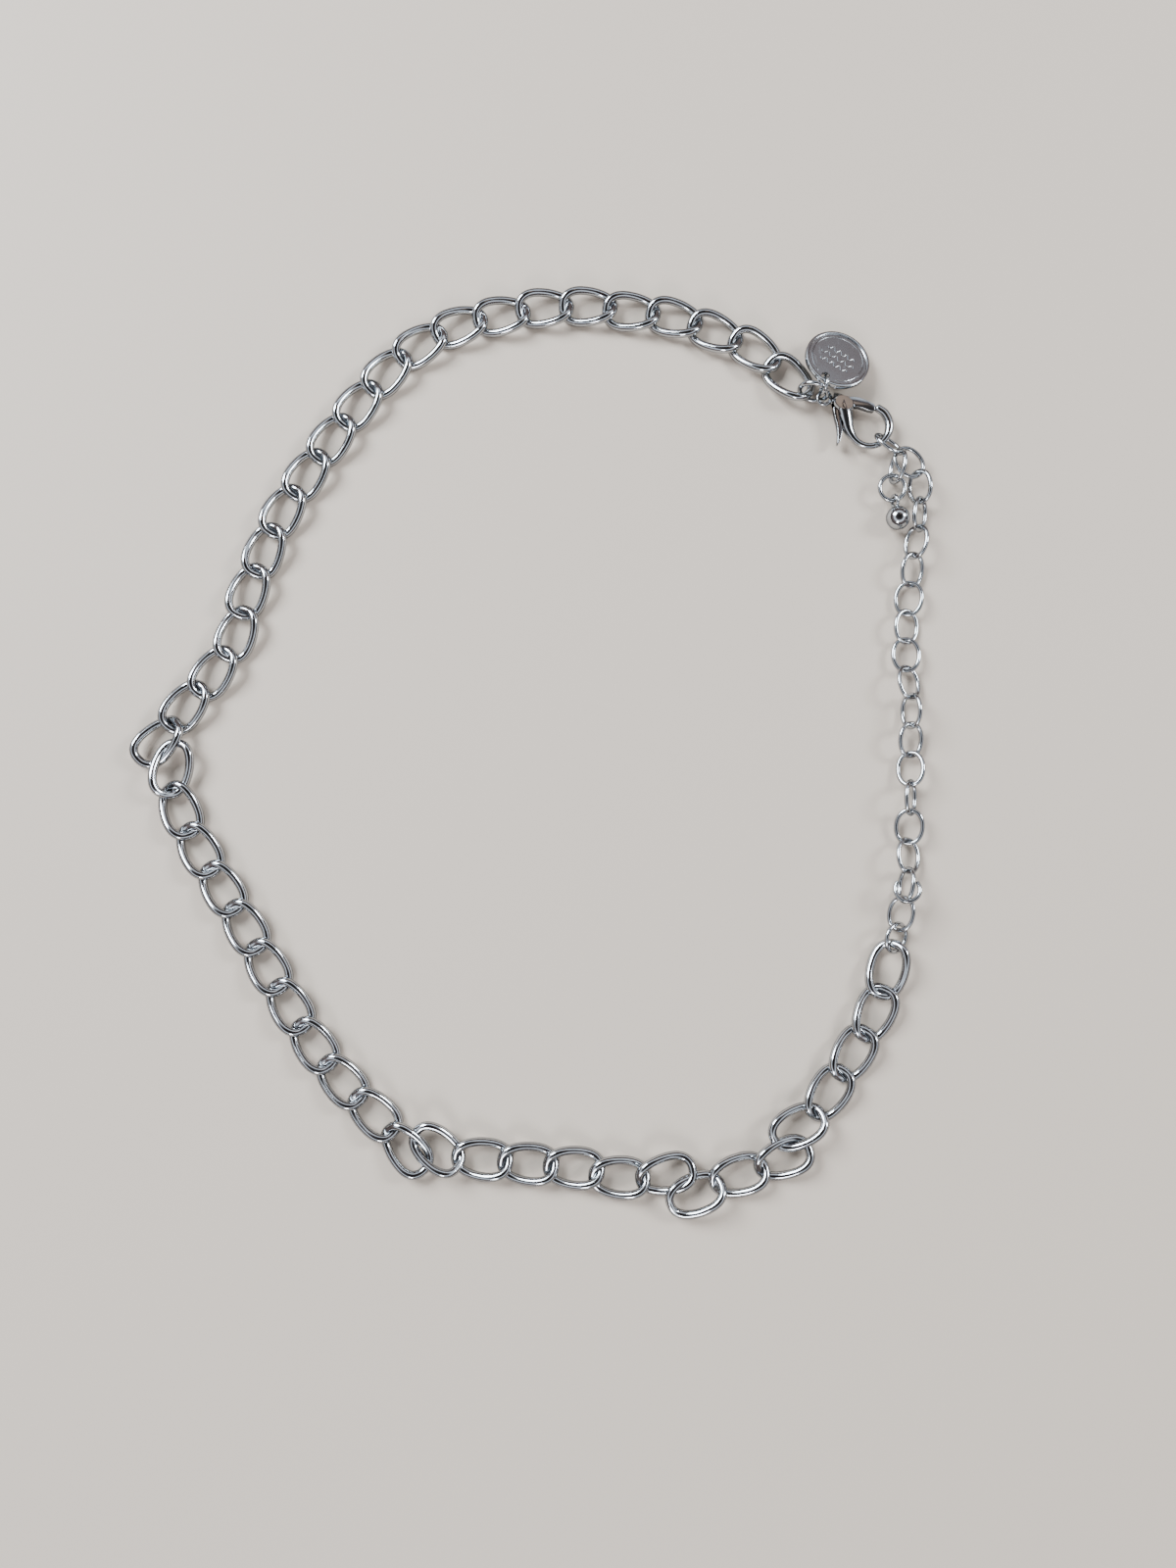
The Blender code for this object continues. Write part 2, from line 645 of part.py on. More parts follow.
def build_open_ring(collection):
    """Builds the sprung-open ring that is caught on the extender's first link."""
    joints, rolls = cable_joints()
    middle = joints[1] + Vector((0.1 * MM, OPEN_RING_RADIUS - 0.22 * MM, 0.0))
    middle.z = joints[1].z + CABLE_WIRE / 2 + OPEN_RING_WIRE / 2 + 3.7 * RUNNING_GAP
    half_gap = OPEN_RING_GAP / 2
    arc = arc_points(OPEN_RING_RADIUS, 90.0 + half_gap, 450.0 - half_gap, 14)
    return wire_object("open_ring", [placed(arc, middle, 0.0, 10.0, -13.0)], OPEN_RING_WIRE, collection,
                       cyclic=False)


def end_ring_middle_point():
    """Returns the end ring's middle; the side link's end wire lies inside its far end."""
    start, end = side_link_ends()
    inside = CABLE_WIRE / 2 + RUNNING_GAP + END_RING_WIRE / 2
    middle = end + polar(END_RING_RADIUS - inside - 0.1 * MM, END_RING_HEADING - 34.0)
    middle.z = BALL_RADIUS + FLOOR_GAP + END_RING_RADIUS * math.sin(math.radians(END_RING_SLOPE))
    return middle


def build_end_ring(collection):
    """Builds the closed ring that carries the end ball; it slopes down to the ball."""
    points = placed(loop_points(END_RING_RADIUS, END_RING_RADIUS, 16), end_ring_middle_point(),
                    END_RING_HEADING, -END_RING_SLOPE)
    return wire_object("end_ring", [points], END_RING_WIRE, collection)


def build_end_ball(collection):
    """Builds the ball with its soldered bail round the end ring's far side."""
    ring = end_ring_middle_point() + polar(END_RING_RADIUS, END_RING_HEADING)
    ring.z = BALL_RADIUS + FLOOR_GAP
    solder = ring + polar(BAIL_WIRE / 2 + 2 * RUNNING_GAP + END_RING_WIRE / 2, END_RING_HEADING)
    bail_middle = solder - polar((BAIL_LENGTH - BAIL_WIRE) / 2, END_RING_HEADING)
    middle = solder + polar(BALL_RADIUS, END_RING_HEADING)
    mesh = bpy.data.meshes.new("end_ball")
    shape = bmesh.new()
    bmesh.ops.create_uvsphere(shape, u_segments=16, v_segments=10, radius=BALL_RADIUS)
    bmesh.ops.translate(shape, verts=shape.verts, vec=middle)
    shape.to_mesh(mesh)
    shape.free()
    ball = mesh_object("end_ball", mesh, collection)
    loop = loop_points((BAIL_LENGTH - BAIL_WIRE) / 2, BAIL_WIDTH / 2, 12)
    points = placed(loop, bail_middle, END_RING_HEADING, 0.0, BAIL_ROLL)
    bail = wire_object("bail", [points], BAIL_WIRE, collection)
    return combine(ball, bail, "UNION")


def main():
    """Builds the anklet."""
    clear_scene()
    parts = new_collection("chain_anklet")
    cutters = new_collection("cutters")
    silver = material("polished_silver", (0.86, 0.87, 0.88), 0.12)
    dress(build_main_chain(parts), silver)
    dress(build_extender(parts), silver)
    dress(build_clasp_body(parts, cutters), silver)
    dress(build_lever(parts), silver)
    dress(build_chain_end_ring(parts), silver)
    dress(build_tag_ring(parts), silver)
    dress(build_tag_disc(parts, cutters), silver)
    dress(build_join_ring(parts), silver)
    dress(build_open_ring(parts), silver)
    dress(build_end_ring(parts), silver)
    dress(build_end_ball(parts), silver)


main()
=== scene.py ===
"""Dresses the chain anklet: open curb links, a lobster clasp, a round tag and an extender with an end ball.

Metres, +Z up. The anklet lies closed on a pale surface at z = 0 and is seen from above. The links follow each
other counter-clockwise from the clasp's eye round to its hook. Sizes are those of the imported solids, but the
wires are round and a little thicker here, and the links interlock instead of being soldered.
"""

import logging
import math
from dataclasses import dataclass
from enum import Enum

import bmesh
import bpy
from mathutils import Matrix, Vector

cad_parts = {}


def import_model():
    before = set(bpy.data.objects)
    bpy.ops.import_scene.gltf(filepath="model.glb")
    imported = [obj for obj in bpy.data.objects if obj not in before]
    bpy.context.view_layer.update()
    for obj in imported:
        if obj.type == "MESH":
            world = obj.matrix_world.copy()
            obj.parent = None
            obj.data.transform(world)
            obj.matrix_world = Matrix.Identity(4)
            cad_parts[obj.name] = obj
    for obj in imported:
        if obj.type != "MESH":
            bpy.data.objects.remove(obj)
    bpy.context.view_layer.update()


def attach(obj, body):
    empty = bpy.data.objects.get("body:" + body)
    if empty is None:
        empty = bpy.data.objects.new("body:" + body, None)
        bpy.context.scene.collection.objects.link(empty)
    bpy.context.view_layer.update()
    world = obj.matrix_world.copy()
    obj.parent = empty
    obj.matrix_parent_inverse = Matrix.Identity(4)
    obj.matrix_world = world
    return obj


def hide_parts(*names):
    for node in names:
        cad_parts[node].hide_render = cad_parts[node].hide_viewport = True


log = logging.getLogger("chain_anklet")

MM = 0.001
RUNNING_GAP = 0.16 * MM
FLOOR_GAP = 0.03 * MM
SHOWN_WIRE = 1.09               # out to the corners of the six-sided packed wires


class Body(Enum):
    """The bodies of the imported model."""

    ANKLET = "anklet"
    LEVER = "lever"


class Section(Enum):
    """How many sides a wire's round section has."""

    FINE = 10
    ROUND = 14
    FULL = 22


# Geometry helpers

def turned(degrees: float, axis: str) -> Matrix:
    """Gives a rotation about an axis letter."""
    return Matrix.Rotation(math.radians(degrees), 4, axis)


def polar(radius: float, degrees: float) -> Vector:
    """Gives a flat vector from its length and heading."""
    angle = math.radians(degrees)
    return Vector((radius * math.cos(angle), radius * math.sin(angle), 0.0))


def heading_of(vector: Vector) -> float:
    """Gives a vector's heading in degrees, counter-clockwise from +X."""
    return math.degrees(math.atan2(vector.y, vector.x))


def swell(sides: int) -> float:
    """Gives the radius of a polygon with the area of a circle of radius 1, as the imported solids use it."""
    return math.sqrt(2 * math.pi / (sides * math.sin(2 * math.pi / sides)))


def smooth(points: list, per: int = 24, closed: bool = False) -> list[Vector]:
    """Reads a Catmull-Rom curve through points.

    Args:
        points: the route's own points.
        per: how many points each stretch gets.
        closed: whether the curve runs back to its first point.

    Returns:
        The dense curve.
    """
    pts = [Vector(p) for p in points]
    if closed:
        pts = [pts[-1], *pts, pts[0], pts[1]]
    else:
        pts = [2 * pts[0] - pts[1], *pts, 2 * pts[-1] - pts[-2]]
    curve = []
    for a, b, c, d in zip(pts, pts[1:], pts[2:], pts[3:]):
        for k in range(per):
            t = k / per
            curve.append(0.5 * (2 * b + (c - a) * t + (2 * a - 5 * b + 4 * c - d) * t ** 2
                                + (3 * b - a - 3 * c + d) * t ** 3))
    if not closed:
        curve.append(pts[-2].copy())
    return curve


def curve_length(curve: list[Vector]) -> float:
    """Gives a dense curve's length."""
    return sum((b - a).length for a, b in zip(curve, curve[1:]))


def walk(curve: list[Vector], distance: float) -> Vector:
    """Gives the point at a distance along a dense curve."""
    for a, b in zip(curve, curve[1:]):
        step = (b - a).length
        if distance <= step:
            return a.lerp(b, distance / step)
        distance -= step
    return curve[-1] + (curve[-1] - curve[-2]).normalized() * distance


def oval(half_length: float, half_width: float, segments: int, rise: float = 0.0,
         fullness: float = 1.0, squareness: float = 1.0) -> list[Vector]:
    """Gives an oval loop's wire path.

    Args:
        half_length: from the middle to the end wire.
        half_width: from the middle to the side wire.
        segments: how many points.
        rise: how far a curb link's twist lifts and drops the wire.
        fullness: 1 for an ellipse, less for straighter sides.
        squareness: 1 for an ellipse, less for flatter ends.

    Returns:
        The loop's points, counter-clockwise from its far end.
    """
    points = []
    for k in range(segments):
        t = 2 * math.pi * k / segments
        c, s = math.cos(t), math.sin(t)
        far, wide = math.copysign(abs(c) ** squareness, c), math.copysign(abs(s) ** fullness, s)
        points.append(Vector((half_length * far, half_width * wide, -rise * math.sin(2 * t))))
    return points


def arc(radius: float, start: float, end: float, segments: int) -> list[Vector]:
    """Gives a flat arc's points between two angles in degrees."""
    return [polar(radius, start + (end - start) * k / segments) for k in range(segments + 1)]


def placing(origin: Vector, heading: float = 0.0, pitch: float = 0.0, roll: float = 0.0) -> Matrix:
    """Gives the matrix that rolls about the length, pitches up, heads and moves."""
    return Matrix.Translation(origin) @ turned(heading, "Z") @ turned(-pitch, "Y") @ turned(roll, "X")


def section_frame(here: Vector, along: Vector, up: Vector) -> Matrix:
    """Gives the frame of a wire's section, its Z along the wire and its Y nearest to up."""
    side = up.cross(along).normalized()
    top = along.cross(side).normalized()
    turn = Matrix((side, top, along.normalized())).transposed().to_4x4()
    return Matrix.Translation(here) @ turn


def sweep(shape: bmesh.types.BMesh, path: list[Vector], radii: list[float], section: Section,
          closed: bool = True, up: Vector = Vector((0.0, 0.0, 1.0)), flatness: float = 1.0) -> None:
    """Draws a wire of round or oval section along a path.

    Args:
        shape: the bmesh that the wire is added to.
        path: the middle line.
        radii: one radius for each point, across the wire.
        section: how many sides the section has.
        closed: whether the wire runs back to its start; an open wire gets caps.
        up: the direction that the sections keep.
        flatness: the section's height over its width.
    """
    count = len(path)
    rings = []
    for k, here in enumerate(path):
        before = path[k - 1] if closed or k else here
        after = path[(k + 1) % count] if closed or k < count - 1 else here
        matrix = section_frame(here, after - before, up)
        matrix = matrix @ Matrix.Diagonal((1.0, flatness, 1.0, 1.0))
        made = bmesh.ops.create_circle(shape, segments=section.value, radius=radii[k], matrix=matrix)
        rings.append(list({edge for vert in made["verts"] for edge in vert.link_edges}))
    pairs = list(zip(rings, rings[1:]))
    if closed:
        pairs.append((rings[-1], rings[0]))
    for first, second in pairs:
        bmesh.ops.bridge_loops(shape, edges=first + second)
    if not closed:
        for ring in (rings[0], rings[-1]):
            bmesh.ops.contextual_create(shape, geom=ring)


def add_copy(shape: bmesh.types.BMesh, mesh: bpy.types.Mesh, matrix: Matrix) -> None:
    """Adds a placed copy of a mesh to a bmesh."""
    before = set(shape.verts)
    shape.from_mesh(mesh)
    bmesh.ops.transform(shape, matrix=matrix, verts=[vert for vert in shape.verts if vert not in before])


def wire_mesh(name: str, path: list[Vector], radius: float, section: Section, closed: bool = True,
              up: Vector = Vector((0.0, 0.0, 1.0))) -> bpy.types.Mesh:
    """Makes a mesh of one even wire, for copies of it.

    Args:
        name: the mesh's name.
        path: the wire's middle line.
        radius: the wire's radius.
        section: how many sides the wire has.
        closed: whether the wire runs back to its start.
        up: the direction that the sections keep.

    Returns:
        The mesh.
    """
    shape = bmesh.new()
    sweep(shape, path, [radius * SHOWN_WIRE] * len(path), section, closed, up)
    bmesh.ops.recalc_face_normals(shape, faces=shape.faces)
    mesh = bpy.data.meshes.new(name)
    shape.to_mesh(mesh)
    shape.free()
    return mesh


def joined(target: bpy.types.Object, other: bpy.types.Object, operation: str) -> bpy.types.Object:
    """Applies a Boolean of another object to a target and removes the other."""
    step = target.modifiers.new("joined", "BOOLEAN")
    step.operation = operation
    step.solver = "EXACT"
    step.object = other
    bpy.context.view_layer.update()
    graph = bpy.context.evaluated_depsgraph_get()
    mesh = bpy.data.meshes.new_from_object(target.evaluated_get(graph))
    target.modifiers.clear()
    target.data = mesh
    bpy.data.objects.remove(other, do_unlink=True)
    return target


def object_of(name: str, shape: bmesh.types.BMesh, faced: bool = True) -> bpy.types.Object:
    """Turns a bmesh into an object at the origin.

    Args:
        name: the object's name.
        shape: the finished bmesh, which is freed.
        faced: whether the normals are recalculated first.

    Returns:
        The object.
    """
    bmesh.ops.remove_doubles(shape, verts=shape.verts, dist=0.0005 * MM)
    if faced:
        bmesh.ops.recalc_face_normals(shape, faces=shape.faces)
    mesh = bpy.data.meshes.new(name)
    shape.to_mesh(mesh)
    shape.free()
    item = bpy.data.objects.new(name, mesh)
    bpy.context.scene.collection.objects.link(item)
    return item


# Finishes

def wear_group() -> bpy.types.ShaderNodeTree:
    """Builds the shared wear: faint cloud, hairline scratches and a slightly uneven polish.

    Returns:
        The node group, with a Cloud and a Scratch mask and a Height.
    """
    group = bpy.data.node_groups.new("polish_wear", "ShaderNodeTree")
    face = group.interface
    for name, value in (("Cloud Scale", 900.0), ("Scratch Scale", 2600.0), ("Unevenness", 0.4)):
        face.new_socket(name, in_out="INPUT", socket_type="NodeSocketFloat").default_value = value
    for name in ("Cloud", "Scratch", "Height"):
        face.new_socket(name, in_out="OUTPUT", socket_type="NodeSocketFloat")
    nodes, links = group.nodes, group.links
    given, out = nodes.new("NodeGroupInput"), nodes.new("NodeGroupOutput")
    place = nodes.new("ShaderNodeTexCoord")
    cloud, streak, dent = (nodes.new("ShaderNodeTexNoise") for _ in range(3))
    cloud.inputs["Detail"].default_value = 3.0
    streak.inputs["Detail"].default_value = 2.0
    dent.inputs["Detail"].default_value = 1.0
    stretch = nodes.new("ShaderNodeMapping")
    stretch.inputs["Rotation"].default_value = (0.0, 0.0, 0.7)
    stretch.inputs["Scale"].default_value = (1.0, 0.08, 1.0)
    links.new(place.outputs["Object"], stretch.inputs["Vector"])
    links.new(place.outputs["Object"], cloud.inputs["Vector"])
    links.new(place.outputs["Object"], dent.inputs["Vector"])
    links.new(stretch.outputs["Vector"], streak.inputs["Vector"])
    links.new(given.outputs["Cloud Scale"], cloud.inputs["Scale"])
    links.new(given.outputs["Cloud Scale"], dent.inputs["Scale"])
    links.new(given.outputs["Scratch Scale"], streak.inputs["Scale"])
    sharp = nodes.new("ShaderNodeMapRange")
    sharp.inputs["From Min"].default_value = 0.62
    sharp.inputs["From Max"].default_value = 0.72
    links.new(streak.outputs["Fac"], sharp.inputs["Value"])
    height = nodes.new("ShaderNodeMath")
    height.operation = "MULTIPLY"
    links.new(dent.outputs["Fac"], height.inputs[0])
    links.new(given.outputs["Unevenness"], height.inputs[1])
    links.new(cloud.outputs["Fac"], out.inputs["Cloud"])
    links.new(sharp.outputs["Result"], out.inputs["Scratch"])
    links.new(height.outputs["Value"], out.inputs["Height"])
    return group


@dataclass(frozen=True)
class SilverFinish:
    """A bright plated silver with its own polish."""

    name: str
    bright: tuple[float, float, float] = (0.46, 0.48, 0.50)
    dull: tuple[float, float, float] = (0.29, 0.30, 0.31)
    edge: tuple[float, float, float] = (0.20, 0.21, 0.24)
    roughness: float = 0.07
    cloudy: float = 0.10
    cloud_scale: float = 420.0
    scratch_scale: float = 2600.0
    unevenness: float = 0.5
    dent: float = 0.02

    def build(self, wear: bpy.types.ShaderNodeTree) -> bpy.types.Material:
        """Makes the material.

        Args:
            wear: the shared wear group.

        Returns:
            The material, with its pattern on Object coordinates.
        """
        mat = bpy.data.materials.new(self.name)
        mat.use_nodes = True
        nodes, links = mat.node_tree.nodes, mat.node_tree.links
        shader = nodes["Principled BSDF"]
        shader.inputs["Metallic"].default_value = 1.0
        shader.inputs["Specular Tint"].default_value = (*self.edge, 1.0)
        group = nodes.new("ShaderNodeGroup")
        group.node_tree = wear
        group.inputs["Cloud Scale"].default_value = self.cloud_scale
        group.inputs["Scratch Scale"].default_value = self.scratch_scale
        group.inputs["Unevenness"].default_value = self.unevenness
        tone = nodes.new("ShaderNodeMix")
        tone.data_type = "RGBA"
        tone.inputs["A"].default_value = (*self.bright, 1.0)
        tone.inputs["B"].default_value = (*self.dull, 1.0)
        amount = nodes.new("ShaderNodeMapRange")
        amount.inputs["From Min"].default_value = 0.35
        amount.inputs["From Max"].default_value = 0.75
        amount.inputs["To Max"].default_value = 0.6
        links.new(group.outputs["Cloud"], amount.inputs["Value"])
        links.new(amount.outputs["Result"], tone.inputs["Factor"])
        links.new(tone.outputs["Result"], shader.inputs["Base Color"])
        rough = nodes.new("ShaderNodeMapRange")
        rough.inputs["From Min"].default_value = 0.3
        rough.inputs["From Max"].default_value = 0.8
        rough.inputs["To Min"].default_value = self.roughness
        rough.inputs["To Max"].default_value = self.roughness + self.cloudy
        links.new(group.outputs["Cloud"], rough.inputs["Value"])
        total = nodes.new("ShaderNodeMath")
        total.operation = "MULTIPLY_ADD"
        total.inputs[1].default_value = 0.06
        links.new(group.outputs["Scratch"], total.inputs[0])
        links.new(rough.outputs["Result"], total.inputs[2])
        links.new(total.outputs["Value"], shader.inputs["Roughness"])
        bump = nodes.new("ShaderNodeBump")
        bump.inputs["Strength"].default_value = 0.35
        bump.inputs["Distance"].default_value = self.dent * MM
        links.new(group.outputs["Height"], bump.inputs["Height"])
        links.new(bump.outputs["Normal"], shader.inputs["Normal"])
        return mat


@dataclass(frozen=True)
class PaleSurface:
    """The plain pale surface that the anklet lies on."""

    color: tuple[float, float, float] = (0.48, 0.41, 0.34)
    roughness: float = 0.65

    def build(self) -> bpy.types.Material:
        """Makes the material."""
        mat = bpy.data.materials.new("pale_surface")
        mat.use_nodes = True
        shader = mat.node_tree.nodes["Principled BSDF"]
        shader.inputs["Base Color"].default_value = (*self.color, 1.0)
        shader.inputs["Roughness"].default_value = self.roughness
        return mat


def settle(item: bpy.types.Object, mat: bpy.types.Material, node: str, body: Body = Body.ANKLET,
           crease: float = 50.0) -> bpy.types.Object:
    """Gives a piece its material and shading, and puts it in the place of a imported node.

    Args:
        item: the piece.
        mat: its material.
        node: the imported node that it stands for.
        body: the body that it moves with.
        crease: the angle in degrees past which an edge stays sharp.

    Returns:
        The piece.
    """
    item.data.materials.clear()
    item.data.materials.append(mat)
    item.data.shade_smooth()
    item.data.set_sharp_from_angle(angle=math.radians(crease))
    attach(item, body.value)
    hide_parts(node)
    log.info("%s: %d faces", item.name, len(item.data.polygons))
    return item


# Sub-assemblies

@dataclass
class MainChain:
    """The curb chain of open, twisted links that pass through each other."""

    length: float = 6.85 * MM
    width: float = 4.65 * MM
    wire: float = 0.88 * MM
    rise: float = 0.475 * MM
    fullness: float = 0.80
    squareness: float = 0.93
    solid_rise: float = 0.44 * MM
    solid_sides: int = 6
    points_round: int = 56
    first_lift: float = 5.2
    first_roll: float = 3.4
    last_lift: float = 4.5
    last_roll: float = -12.0

    # The route in millimetres, from the first link's end wire to the last link's
    ROUTE = [
        (31.84, 40.14), (29.6, 42.1), (21.7, 47.4), (12.1, 50.1), (-3.1, 49.8), (-12.7, 46.5),
        (-19.9, 39.6), (-28.6, 26.8), (-32.4, 17.5), (-36.1, 8.0), (-40.8, 1.9), (-39.9, -7.9),
        (-32.1, -21.4), (-24.1, -34.4), (-17.3, -41.9), (-12.0, -45.6), (-0.5, -47.2), (14.8, -48.3),
        (22.8, -48.5), (28.5, -45.0), (33.0, -39.5), (38.2, -30.9), (39.7, -26.0), (40.55, -23.15),
    ]
    # Links out of line: number, share of a step to the next, aside in link widths, heading or None
    LAID = {
        1: (1.0, 0.0, 135.5),
        2: (1.0, -0.09, None), 6: (1.0, -0.10, None), 7: (1.0, -0.09, None), 18: (1.0, 0.11, None),
        20: (0.9, 0.08, None), 21: (0.61, -0.27, -135.0), 22: (0.95, 0.07, -104.0),
        32: (0.63, -0.14, -50.0), 33: (1.0, 0.10, -41.0), 37: (1.0, -0.15, None), 38: (0.68, 0.0, 12.0),
        39: (0.92, -0.40, 20.0), 41: (0.7, -0.17, 20.0), 42: (1.0, 0.14, 25.0),
    }
    # Links that a kink rolls and lifts: number, roll and pitch in degrees, lift in millimetres
    KINKED = {
        21: (9.0, 0.0, 0.24), 22: (-9.0, 0.0, 0.5), 32: (9.0, 0.0, 0.24), 33: (-9.0, 0.0, 0.5),
        38: (9.0, 0.0, 0.24), 39: (-9.0, 0.0, 0.5), 41: (9.0, 0.0, 0.24), 42: (-9.0, 0.0, 0.5),
    }

    def links(self) -> list[tuple[Vector, float]]:
        """Gives each link's place and heading along the route."""
        half = (self.length - self.wire) / 2
        height = FLOOR_GAP + self.solid_rise + swell(self.solid_sides) * self.wire / 2
        curve = smooth([(x * MM, y * MM, height) for x, y in self.ROUTE])
        pitch = self.length - 2 * self.wire
        lost = sum(1.0 - step for step, aside, heading in self.LAID.values())
        span = curve_length(curve) - 2 * half
        count = round(span / pitch + lost) + 1
        pitch = span / (count - 1 - lost)
        links = []
        station = half
        for number in range(1, count + 1):
            step, aside, heading = self.LAID.get(number, (1.0, 0.0, None))
            here = walk(curve, station)
            along = (walk(curve, station + half / 2) - walk(curve, station - half / 2)).normalized()
            if heading is None:
                heading = heading_of(along)
            left = Vector((-along.y, along.x, 0.0))
            links.append((here + left * aside * self.width, heading))
            station += step * pitch
        return links

    def first(self) -> tuple[Vector, float]:
        """Gives the first link's place and heading, with its free end lifted."""
        origin, heading = self.links()[0]
        rise = (self.length - self.wire) / 4 * math.sin(math.radians(self.first_lift))
        return origin + Vector((0.0, 0.0, rise)), heading

    def last(self) -> tuple[Vector, float]:
        """Gives the last link's place and heading, with its free end lifted."""
        origin, heading = self.links()[-1]
        rise = (self.length - self.wire) / 4 * math.sin(math.radians(self.last_lift))
        rise += (self.width - self.wire) / 8 * abs(math.sin(math.radians(self.last_roll)))
        return origin + Vector((0.0, 0.0, rise)), heading

    def placings(self) -> list[Matrix]:
        """Gives the matrix of every link."""
        places = []
        for number, (origin, heading) in enumerate(self.links(), 1):
            roll, pitch, lift = self.KINKED.get(number, (0.0, 0.0, 0.0))
            places.append(placing(origin + Vector((0.0, 0.0, lift * MM)), heading, pitch, roll))
        places[0] = placing(*self.first(), -self.first_lift, self.first_roll)
        places[-1] = placing(*self.last(), self.last_lift, self.last_roll)
        return places

    def build(self, mat: bpy.types.Material) -> bpy.types.Object:
        """Builds all links as one piece.

        Args:
            mat: the links' finish.

        Returns:
            The chain.
        """
        path = oval((self.length - self.wire) / 2, (self.width - self.wire) / 2, self.points_round, self.rise,
                    self.fullness, self.squareness)
        link = wire_mesh("curb_link", path, self.wire / 2, Section.ROUND)
        shape = bmesh.new()
        for matrix in self.placings():
            add_copy(shape, link, matrix)
        bpy.data.meshes.remove(link)
        return settle(object_of("curb_links", shape), mat, "main_chain")


@dataclass
class RoundRing:
    """A closed jump ring that leans about its heading."""

    name: str
    node: str
    middle: Vector
    radius: float
    wire: float
    heading: float
    lean: float
    pitch: float = 0.0
    points_round: int = 64

    def build(self, mat: bpy.types.Material) -> bpy.types.Object:
        """Builds the ring."""
        path = oval(self.radius, self.radius, self.points_round)
        ring = wire_mesh(self.name, path, self.wire / 2, Section.ROUND)
        shape = bmesh.new()
        add_copy(shape, ring, placing(self.middle, self.heading, self.pitch, self.lean))
        bpy.data.meshes.remove(ring)
        return settle(object_of(self.name, shape), mat, self.node)


